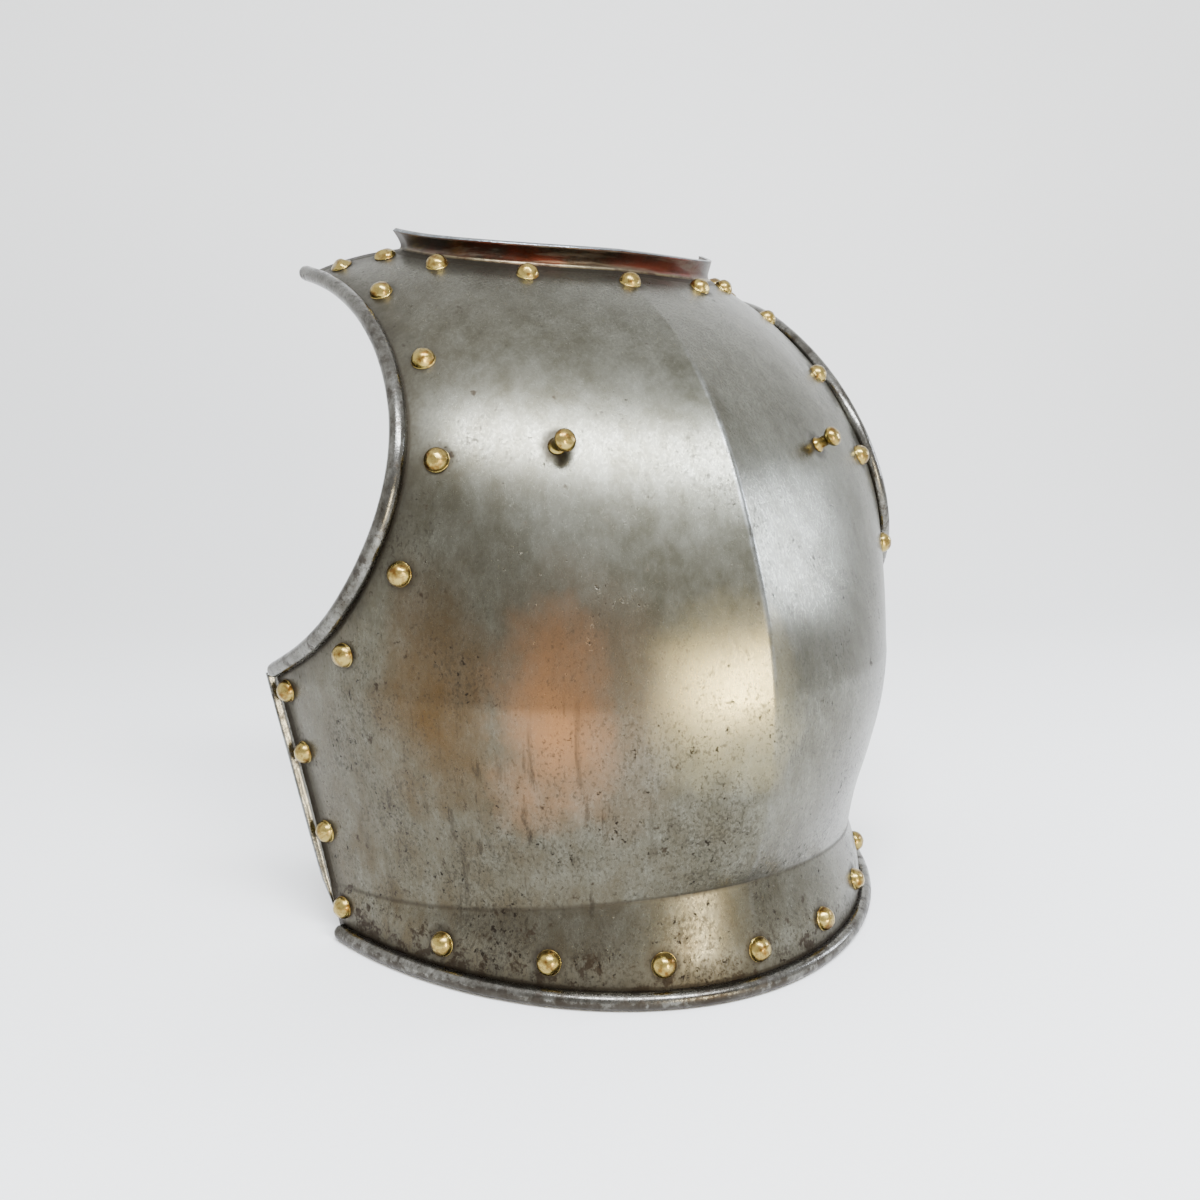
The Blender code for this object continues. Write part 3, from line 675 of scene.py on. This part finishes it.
def bend_over(mesh, way, lean):
    """Bend a button's neck towards a direction in its own axes, its foot staying flat."""
    aside = Vector(way).normalized()
    for vertex in mesh.verts:
        height = vertex.co.z
        if height <= 0:
            continue
        turn = lean * min(height / BUTTON_NECK_TOP, 1)
        out = aside.dot(vertex.co)
        flat = vertex.co - aside * out
        flat.z = 0
        bow = min(height, BUTTON_NECK_TOP) / 2
        rest = height - bow
        along_axis = Vector((0, 0, 1)) * math.cos(turn) + aside * math.sin(turn)
        across_axis = aside * math.cos(turn) - Vector((0, 0, 1)) * math.sin(turn)
        vertex.co = flat + Vector((0, 0, bow)) + along_axis * rest + across_axis * out


def hammer_marks(mesh, seed, radius):
    """Press a few shallow flats into a turned head, so that no two catch the light alike."""
    chance = random.Random(seed)
    marks = []
    for _ in range(HAMMER_MARKS):
        lean = math.radians(chance.uniform(8, 62))
        turn = chance.uniform(0, 2 * math.pi)
        way = Vector((math.sin(lean) * math.cos(turn), math.sin(lean) * math.sin(turn), math.cos(lean)))
        marks.append((way, radius * (1 - HAMMER_DEPTH * chance.uniform(0.5, 1.0))))
    for vertex in mesh.verts:
        if vertex.co.z < 2 * SEAT_GAP:
            continue
        for way, limit in marks:
            over = vertex.co.dot(way) - limit
            if over > 0:
                vertex.co -= way * over * HAMMER_BITE


def axis_place(name, tree):
    """Where the axis of a CAD rivet or button meets the sheet's outer face, and its direction."""
    corners = [vertex.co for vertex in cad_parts[name].data.vertices]
    middle = sum(corners, Vector()) / len(corners)
    place, normal, _, _ = tree.find_nearest(middle)
    inside = Vector((0, HOLLOW_BACK, middle.z * HOLLOW_RISE))
    if normal.dot(middle - inside) < 0:
        normal = -normal
    return place, normal


def both_sides(left):
    """Points on the wearer's left, followed by their twins on the right."""
    return np.concatenate((left, left * MIRROR))


def outer_tree(half):
    """A search tree of the sheet's outer face, both halves."""
    points = half.points.reshape(-1, 3)
    rows, columns = half.points.shape[:2]
    corners = both_sides(points)
    faces = []
    for side in (0, len(points)):
        for row in range(rows - 1):
            for column in range(columns - 1):
                first = side + row * columns + column
                face = (first, first + 1, first + columns + 1, first + columns)
                faces.append(face if side == 0 else face[::-1])
    return BVHTree.FromPolygons([Vector(corner) for corner in corners], faces)


def set_fixings(half):
    """Fine rivets and buttons in place of the CAD's, each square to the sheet under it."""
    tree = outer_tree(half)
    centres = []
    for number, name in enumerate(sorted(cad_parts)):
        button = "button" in name
        if not (button or "rivet" in name):
            continue
        place, axis = axis_place(name, tree)
        if button:
            mesh = turned_solid(button_profile(), BUTTON_SIDES)
        else:
            height = RIVET_HEAD_HEIGHT * (SHOULDER_HEAD_SHARE if "shoulder" in name else 1)
            mesh = turned_solid(rivet_profile(height), RIVET_SIDES)
            hammer_marks(mesh, number, height)
        turn = axis.to_track_quat("Z", "Y").to_matrix().to_4x4()
        if name == BENT_BUTTON:
            aside = turn.to_3x3().transposed() @ BUTTON_LEANS_TO
            aside.z = 0
            bend_over(mesh, aside, BUTTON_LEAN)
        turn.translation = place
        mesh.transform(turn)
        bmesh.ops.recalc_face_normals(mesh, faces=mesh.faces)
        piece = to_piece(f"{name}_fine", mesh)
        piece.data.materials.append(button_brass if button else rivet_brass)
        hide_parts(name)
        centres.append(place)
    return centres


def write_nearness(piece, places):
    """Store on each corner of a piece how far it is from each kind of place."""
    data = piece.data
    corners = np.empty(len(data.vertices) * 3, dtype=np.float32)
    data.vertices.foreach_get("co", corners)
    corners = corners.reshape(-1, 3)
    for name, points in places.items():
        tree = KDTree(len(points))
        for index, point in enumerate(points):
            tree.insert(point, index)
        tree.balance()
        gaps = np.array([tree.find(corner)[2] for corner in corners], dtype=np.float32)
        data.attributes.new(name, "FLOAT", "POINT").data.foreach_set("value", gaps)


def border_points(half):
    """Points along every border of both halves."""
    left = np.concatenate((half.points[0], half.points[:, -1], half.points[-1]))
    return both_sides(left)


def linear(hex_colour):
    """An sRGB hex value as a linear colour."""
    channels = []
    for start in (0, 2, 4):
        value = int(hex_colour[start : start + 2], 16) / 255
        channels.append(value / 12.92 if value <= 0.04045 else ((value + 0.055) / 1.055) ** 2.4)
    return (*channels, 1.0)


def plug(tree, socket, value):
    """Link a socket to another node's output, or set it to a constant."""
    if isinstance(value, bpy.types.NodeSocket):
        tree.links.new(value, socket)
    else:
        socket.default_value = value


def add_node(owner, kind, inputs=(), output=None, **settings):
    """One output of a new node of a material or of the world: the one named, or its first.

    The inputs are constants or other nodes' outputs. A dict names their sockets, and a tuple is in
    the order of the sockets that the settings leave in use.
    """
    tree = owner.node_tree
    made = tree.nodes.new(f"ShaderNode{kind}")
    for name, value in settings.items():
        setattr(made, name, value)
    if isinstance(inputs, dict):
        pairs = [(made.inputs[name], value) for name, value in inputs.items()]
    else:
        pairs = zip([socket for socket in made.inputs if socket.enabled], inputs)
    for socket, value in pairs:
        plug(tree, socket, value)
    if output:
        return made.outputs[output]
    return next(socket for socket in made.outputs if socket.enabled)


def per_millimetre(size):
    """Noise scale whose features are about this many millimetres across, in metres of object space."""
    return 1000.0 / size


def new_material(name):
    """A material with its own shader."""
    material = bpy.data.materials.new(name)
    material.use_nodes = True
    return material


def set_looks(material, looks):
    """Set or link inputs of a material's shader by their names, and return the material."""
    shader = material.node_tree.nodes["Principled BSDF"]
    for name, value in looks.items():
        plug(material.node_tree, shader.inputs[name], value)
    return material


def finish_metal(material, colour, roughness, relief, strength, depth):
    """Give a bare metal its colour, roughness and a relief of up to a depth, and return it."""
    bump = add_node(material, "Bump", {"Height": relief, "Strength": strength, "Distance": depth})
    looks = {"Base Color": colour, "Metallic": 1.0, "Roughness": roughness, "Normal": bump}
    return set_looks(material, looks)


def grain(material, place, size, detail=3.0, rough=0.55, stretch=(1, 1, 1), shift=(0, 0, 0)):
    """Cloudy noise whose patches are about size millimetres across, stretched along each axis."""
    moved = add_node(material, "Mapping", {"Vector": place, "Location": shift, "Scale": stretch})
    inputs = {"Vector": moved, "Scale": per_millimetre(size), "Detail": detail, "Roughness": rough}
    return add_node(material, "TexNoise", inputs)


def patch(material, place, centre, radii, full_to, ragged):
    """One soft-edged patch of colour, full near its centre, used for stains, streaks and one painted
    reflection. ragged is a noise that breaks its outline up.
    """
    offset = add_node(material, "VectorMath", (place, centre), operation="SUBTRACT")
    shares = add_node(material, "VectorMath", (offset, radii), operation="DIVIDE")
    far = add_node(material, "VectorMath", (shares,), operation="LENGTH")
    spread = add_node(material, "Math", (ragged, 0.5), operation="SUBTRACT")
    distance = add_node(material, "Math", (spread, RAGGEDNESS, far), operation="MULTIPLY_ADD")
    return add_node(material, "MapRange", (distance, full_to, 1.0, 1.0, 0.0))


def spotted(material, cloud, thicker, start, full):
    """Spots where a cloudy noise, raised by a value, passes a start. They are solid from full on."""
    raised = add_node(material, "Math", (cloud, thicker), operation="ADD")
    return add_node(material, "MapRange", (raised, start, full, 0.0, 1.0))


def overlaid(material, colour, *layers):
    """A colour with layers laid over it in turn, each with its share, strength and colour: stains, grain
    and rust, and also painted highlights, reflection and shade.
    """
    for share, strength, hex_colour in layers:
        amount = add_node(material, "Math", (share, strength), operation="MULTIPLY")
        colour = add_node(material, "Mix", (amount, colour, linear(hex_colour)), data_type="RGBA")
    return colour


def steel_finish(material, light_grey, dark_grey):
    """What every face of the old steel has: greys in soft clouds and a fine grain.

    The grain is drawn several times coarser than the real one, so that it shows.
    """
    place = add_node(material, "TexCoord", output="Object")
    cloud = grain(material, place, 60, 3, 0.5)
    mottle = grain(material, place, 11, 5, 0.7, (1, 1, 0.6))
    fine = grain(material, place, 1.5, 4, 0.75, (1, 1, 0.5))
    tone = add_node(material, "Mix", (0.60, cloud, mottle))
    lightness = add_node(material, "MapRange", (tone, 0.38, 0.62, 0.0, 1.0))
    grained = add_node(material, "MapRange", (fine, 0.38, 0.64, 0.0, 0.45))
    colour = linear(dark_grey)
    colour = overlaid(material, colour, (lightness, 1.0, light_grey), (grained, 1.0, "34322d"))
    return place, mottle, fine, colour


def painted_ridge_highlight(material, across, height, mottle):
    """Painted highlight: a light line along the ridge, from the breast down to the belly, standing in for
    its bright reflection.
    """
    from_ridge = add_node(material, "Math", (across,), operation="ABSOLUTE")
    below_top = add_node(material, "MapRange", (height, 0.33, 0.28, 0.0, 1.0))
    above_belly = add_node(material, "MapRange", (height, 0.14, 0.23, 0.1, 1.0))
    patchy = add_node(material, "MapRange", (mottle, 0.4, 0.6, 0.2, 1.0))
    ridge_highlight = add_node(material, "Math", (below_top, above_belly), operation="MINIMUM")
    ridge_highlight = add_node(material, "Math", (ridge_highlight, patchy), operation="MULTIPLY")
    return add_node(material, "MapRange", (from_ridge, 0.0006, 0.0022, ridge_highlight, 0.0))


def flank_streaks(material, place, break_up, ragged):
    """Dark streaks that ran down the flank."""
    streaks = grain(material, place, 6, 4, 0.65, (1, 1, 0.045), (0.05, 0.02, 0))
    streaks = add_node(material, "MapRange", (streaks, 0.56, 0.64, 0.0, break_up))
    flank = patch(material, place, (-0.110, -0.060, 0.085), (0.105, 0.105, 0.095), 0.45, ragged)
    return add_node(material, "Math", (streaks, flank), operation="MULTIPLY")


def rust_marks(material, place, height, right):
    """A fine peppering, pits and blots of rust, denser where wet gathered low on the plate."""
    wet = add_node(material, "MapRange", (height, 0.30, 0.01, -0.01, 0.075))
    gathered = grain(material, place, 34, 4, 0.6, shift=(0.7, 0.2, 0.5))
    gathered = add_node(material, "MapRange", (gathered, 0.40, 0.66, -0.03, 0.07))
    crowded = add_node(material, "Math", (wet, gathered), operation="ADD")
    at_rim = add_node(material, "MapRange", (height, 0.045, 0.008, 0.0, 0.14))
    at_rim = add_node(material, "Math", (right, 0.035, at_rim), operation="MULTIPLY_ADD")
    pepper = grain(material, place, 1.7, 5, 0.75, (1, 1, 0.8), (0.9, 0.4, 0.6))
    pits = grain(material, place, 3.4, 4, 0.7, (1, 1, 0.9), (0.2, 0.8, 0.1))
    blots = grain(material, place, 10, 5, 0.7, shift=(0.6, 0.6, 0.1))
    return (
        spotted(material, pepper, crowded, 0.585, 0.68),
        spotted(material, pits, crowded, 0.705, 0.735),
        spotted(material, blots, at_rim, 0.66, 0.72),
    )


def grime_and_painted_shade(material, break_up):
    """Grime held against the rivets and in a wide band along the borders, and painted shade: dark lines in
    the borders' grooves and along the waist crease.
    """
    uneven = add_node(material, "Math", (break_up, 0.5), operation="SUBTRACT")
    grime_and_shade = 0.0
    for held in GRIME_AND_PAINTED_SHADE:
        gap = add_node(material, "Attribute", output="Fac", attribute_name=held.against)
        gap = add_node(material, "Math", (uneven, held.uneven, gap), operation="MULTIPLY_ADD")
        share = add_node(material, "MapRange", (gap, held.full_to, held.ends, held.share, 0.0))
        grime_and_shade = add_node(material, "Math", (grime_and_shade, share), operation="MAXIMUM")
    return grime_and_shade


def make_worn_steel():
    """Old raised steel, polished long ago: satin, pitted, browned low on the wearer's right, with painted
    highlight, reflection and shade in its colour.
    """
    material = new_material("worn_satin_steel")
    place, mottle, fine, colour = steel_finish(material, "747469", "545347")
    across = add_node(material, "SeparateXYZ", (place,), "X")
    height = add_node(material, "SeparateXYZ", (place,), "Z")
    ragged = grain(material, place, 24, 5, 0.6, (1, 1, 0.8), (0.3, 0.1, 0.2))
    break_up = grain(material, place, 12, 5, 0.65, (1, 1, 0.6), (0.4, 0.3, 0.1))

    # The wearer's right and the lower half have yellowed and darkened, the chest has stayed cooler
    right = add_node(material, "MapRange", (across, 0.02, -0.15, 0.0, 1.0))
    low = add_node(material, "MapRange", (height, 0.24, 0.06, 0.0, 1.0))
    aged = add_node(material, "Math", (right, low), operation="ADD")
    aged = add_node(material, "Math", (aged, break_up), operation="MULTIPLY")
    colour = overlaid(material, colour, (aged, 0.78, "463f31"))
    # Tarnish; the last patch is a painted reflection
    for colour_patch in TARNISH_AND_PAINTED_REFLECTION:
        share = patch(material, place, colour_patch.centre, colour_patch.radii, colour_patch.full_to, ragged)
        colour = overlaid(material, colour, (share, colour_patch.strength, colour_patch.colour))

    ridge_highlight = painted_ridge_highlight(material, across, height, mottle)
    streaks = flank_streaks(material, place, break_up, ragged)
    pepper, pits, blots = rust_marks(material, place, height, right)
    grime_and_shade = grime_and_painted_shade(material, break_up)
    colour = overlaid(
        material,
        colour,
        # Painted highlight: a light line along the ridge
        (ridge_highlight, 0.60, "b4b8b8"),
        (streaks, 1.15, "2a241d"),
        (pepper, 0.60, "2b2721"),
        (pits, 0.88, "1a1511"),
        (blots, 0.78, "261d15"),
        # Grime round the rivets and borders, and painted shade lines in the grooves and the waist crease
        (grime_and_shade, 0.78, "28221b"),
    )

    # Pits, rust blots, grime and the painted shade lines are dull, so they don't mirror the lights
    dull_marks = add_node(material, "Math", (pits, grime_and_shade), operation="MAXIMUM")
    dull_marks = add_node(material, "Math", (dull_marks, blots), operation="MAXIMUM")
    roughness = add_node(material, "MapRange", (fine, 0.3, 0.7, 0.25, 0.31))
    roughness = add_node(material, "Math", (dull_marks, 0.25, roughness), operation="MULTIPLY_ADD")
    roughness = add_node(material, "Math", (pepper, 0.10, roughness), operation="MULTIPLY_ADD")

    # Relief: planishing hollows 30 mm wide, the grain of the polish and the depth of the pits
    planished = grain(material, place, 30, 0, 0.4)
    relief = 0.0
    for form, rise in ((planished, 0.10), (fine, 0.030), (pepper, -0.03), (pits, -0.16)):
        relief = add_node(material, "Math", (form, rise, relief), operation="MULTIPLY_ADD")
    return finish_metal(material, colour, roughness, relief, 0.55, 0.0006)


def make_bead_steel(name, light_grey, dark_grey, rust):
    """Rolled and cut borders: brighter where hands and cloth rubbed them, rust-spotted below."""
    material = new_material(name)
    place, mottle, fine, colour = steel_finish(material, light_grey, dark_grey)
    height = add_node(material, "SeparateXYZ", (place,), "Z")
    under = add_node(material, "MapRange", (height, 0.0070, 0.0030, 0.0, 0.20))
    spots = grain(material, place, 7, 5, 0.7, shift=(0.3, 0.3, 0.3))
    spots = spotted(material, spots, under, 0.51, 0.63)
    specks = grain(material, place, 1.8, 4, 0.75, shift=(0.9, 0.4, 0.6))
    specks = add_node(material, "MapRange", (specks, 0.53, 0.66, 0.0, 0.8))
    spots = add_node(material, "Math", (spots, specks), operation="MAXIMUM")
    colour = overlaid(material, colour, (spots, rust, "251d16"))
    roughness = add_node(material, "MapRange", (spots, 0.0, 1.0, 0.19, 0.42))
    relief = add_node(material, "Math", (mottle, 0.5, fine), operation="MULTIPLY_ADD")
    return finish_metal(material, colour, roughness, relief, 0.3, 0.0003)


def make_flange_steel():
    """The neck flange, never polished: dark brown with redder rust, and a painted highlight: a pale line
    along its foot where it meets the chest, standing in for the cove's reflection.
    """
    material = new_material("browned_neck_steel")
    place, mottle, fine, colour = steel_finish(material, "33281f", "211812")
    red = grain(material, place, 26, 4, 0.6, (0.5, 1, 1.6), (0.1, 0.3, 0.5))
    red = add_node(material, "MapRange", (red, 0.46, 0.62, 0.0, 1.0))
    lines = grain(material, place, 5, 3, 0.6, (0.12, 0.3, 1.4))
    lines = add_node(material, "MapRange", (lines, 0.50, 0.62, 0.0, 1.0))
    # Painted highlight: a pale line along the flange's foot, standing in for the cove's reflection
    gap = add_node(material, "Attribute", output="Fac", attribute_name="border_gap")
    patchy = add_node(material, "MapRange", (mottle, 0.4, 0.55, 0.15, 0.75))
    root = add_node(material, "MapRange", (gap, 0.0012, 0.0026, patchy, 0.0))
    across = add_node(material, "SeparateXYZ", (place,), "X")
    aside = add_node(material, "Math", (across,), operation="ABSOLUTE")
    at_end = add_node(material, "MapRange", (aside, 0.085, 0.105, 0.0, 1.0))
    colour = overlaid(
        material,
        colour,
        (red, 0.75, "4a2014"),
        (lines, 0.45, "5f564a"),
        (root, 1.0, "9c9070"),
        (at_end, 0.6, "5d5a54"),
    )
    relief = add_node(material, "Math", (mottle, 0.6, fine), operation="MULTIPLY_ADD")
    return finish_metal(material, colour, 0.36, relief, 0.4, 0.0004)


def make_inner_steel():
    """The inside, left as it was hammered: dark, brown and dull, with the marks of the stake."""
    material = new_material("hammered_inner_steel")
    place, mottle, fine, colour = steel_finish(material, "57524b", "38332c")
    rust = grain(material, place, 18, 5, 0.65)
    rust = add_node(material, "MapRange", (rust, 0.48, 0.66, 0.0, 1.0))
    colour = overlaid(material, colour, (rust, 0.6, "3a2a1e"))
    roughness = add_node(material, "MapRange", (mottle, 0.3, 0.7, 0.44, 0.58))
    spacing = {"Vector": place, "Scale": per_millimetre(17)}
    blows = add_node(material, "TexVoronoi", spacing, feature="SMOOTH_F1")
    relief = add_node(material, "Math", (fine, 0.12, blows), operation="MULTIPLY_ADD")
    return finish_metal(material, colour, roughness, relief, 0.5, 0.0012)


def make_brass(name, smooth, dull):
    """Cast and hammered brass with a thin brown film left in its hollows."""
    material = new_material(name)
    place = add_node(material, "TexCoord", output="Object")
    film = grain(material, place, 4, 4, 0.6)
    fine = grain(material, place, 0.9, 3, 0.6)
    filmed = add_node(material, "MapRange", (film, 0.43, 0.66, 0.0, 1.0))
    specks = add_node(material, "MapRange", (fine, 0.60, 0.70, 0.0, 1.0))
    colour = linear("98864c")
    colour = overlaid(material, colour, (filmed, 1.0, "61451f"), (specks, 0.5, "38290f"))
    roughness = add_node(material, "MapRange", (film, 0.3, 0.7, smooth, dull))
    relief = add_node(material, "Math", (fine, 0.25, film), operation="MULTIPLY_ADD")
    return finish_metal(material, colour, roughness, relief, 0.25, 0.0002)


def make_paper():
    """The studio's seamless paper: matt and nearly white."""
    material = new_material("matt_white_paper")
    place = add_node(material, "TexCoord", output="Object")
    tooth = grain(material, place, 3, 2, 0.5)
    colour = overlaid(material, linear("f4f4f2"), (tooth, 1.0, "f8f8f6"))
    return set_looks(material, {"Base Color": colour, "Roughness": 0.9})


def paper_sweep():
    """A floor that curves up behind into a backdrop, with no line between them."""
    mesh = bmesh.new()
    profile = [(PAPER_FRONT, 0.0), (PAPER_BEND_START, 0.0)]
    for step in range(1, PAPER_BEND_STEPS + 1):
        turn = math.radians(90 * step / PAPER_BEND_STEPS)
        back = PAPER_BEND_START + PAPER_BEND_RADIUS * math.sin(turn)
        profile.append((back, PAPER_BEND_RADIUS * (1 - math.cos(turn))))
    profile.append((PAPER_BEND_START + PAPER_BEND_RADIUS, PAPER_TOP))
    lines = []
    for back, rise in profile:
        ends = (-PAPER_HALF_WIDTH, PAPER_HALF_WIDTH)
        lines.append([mesh.verts.new((side, back, rise)) for side in ends])
    for near, far in zip(lines, lines[1:]):
        mesh.faces.new((near[0], near[1], far[1], far[0]))
    sweep = to_object("paper_sweep", mesh)
    sweep.data.materials.append(make_paper())
    sweep.rotation_euler.z = CAMERA_TURN


def soft_box(name, way, size, watts, colour, roll=0):
    """A soft studio light, standing off the chest's middle in a direction and facing it."""
    data = bpy.data.lights.new(name, "AREA")
    data.shape = "RECTANGLE"
    data.size, data.size_y = size
    data.energy = watts
    data.color = linear(colour)[:3]
    lamp = bpy.data.objects.new(name, data)
    way = Vector(way).normalized()
    lamp.location = CHEST_MIDDLE + way * LIGHT_DISTANCE
    lamp.rotation_euler = (way.to_track_quat("Z", "Y") @ Quaternion((0, 0, 1), roll)).to_euler()
    bpy.context.scene.collection.objects.link(lamp)


def light_studio():
    """A pale room, dimmer in front of the chest and bright at the horizon, and three soft lights."""
    world = bpy.data.worlds.new("studio")
    world.use_nodes = True
    direction = add_node(world, "TexCoord", output="Generated")
    depth = add_node(world, "SeparateXYZ", (direction,), "Y")
    height = add_node(world, "SeparateXYZ", (direction,), "Z")
    behind = add_node(world, "MapRange", (depth, -0.75, 0.15, 1.05, 2.0))
    horizon = add_node(world, "MapRange", (height, 0.0, 0.50, 1.95, 1.0))
    strength = add_node(world, "Math", (behind, horizon), operation="MAXIMUM")
    background = world.node_tree.nodes["Background"]
    plug(world.node_tree, background.inputs["Color"], linear("fbfcff"))
    plug(world.node_tree, background.inputs["Strength"], strength)
    bpy.context.scene.world = world
    overhead_roll = math.radians(-11)
    soft_box("overhead_front", (-0.14, -0.535, 0.833), (1.20, 0.28), 74.0, "eef4ff", overhead_roll)
    soft_box("side_right", (0.93, -0.235, 0.29), (0.19, 0.42), 12.0, "e2ebff")
    soft_box("front_low", (0.05, -0.99, 0.03), (0.26, 0.50), 18.5, "fff0cc")


def place_camera():
    """The photograph's camera: a moderate wide lens, 0.28 m up, 28.7 degrees round to the right."""
    data = bpy.data.cameras.new("camera")
    data.sensor_width = 36
    data.sensor_fit = "HORIZONTAL"
    data.lens = 30.24
    camera = bpy.data.objects.new("camera", data)
    camera.location = (-0.2997, -0.3706 + FRAME_SHIFT, 0.2765)
    camera.rotation_euler = (math.radians(90) - CAMERA_TILT, 0, CAMERA_TURN)
    bpy.context.scene.collection.objects.link(camera)
    bpy.context.scene.camera = camera


place_camera()
worn_steel = make_worn_steel()
inner_steel = make_inner_steel()
bead_steel = make_bead_steel("rubbed_rolled_steel", "7f7e78", "4a4740", 0.72)
edge_steel = make_bead_steel("filed_steel_edge", "a3aaae", "6f7478", 0.45)
flange_steel = make_flange_steel()
rivet_brass = make_brass("hammered_brass", 0.20, 0.36)
button_brass = make_brass("cast_brass", 0.18, 0.32)

half_plate = HalfPlate()
rivet_centres = set_fixings(half_plate)
plate_sheet = raised_sheet(half_plate)
write_nearness(
    plate_sheet,
    {
        "rivet_gap": rivet_centres,
        "border_gap": border_points(half_plate),
        "waist_gap": both_sides(half_plate.points[SKIRT_ROWS]),
    },
)
steel_pieces = [plate_sheet, rim_bead(half_plate), *armhole_beads(half_plate)]
for steel_piece in steel_pieces:
    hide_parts("plate")

paper_sweep()
light_studio()
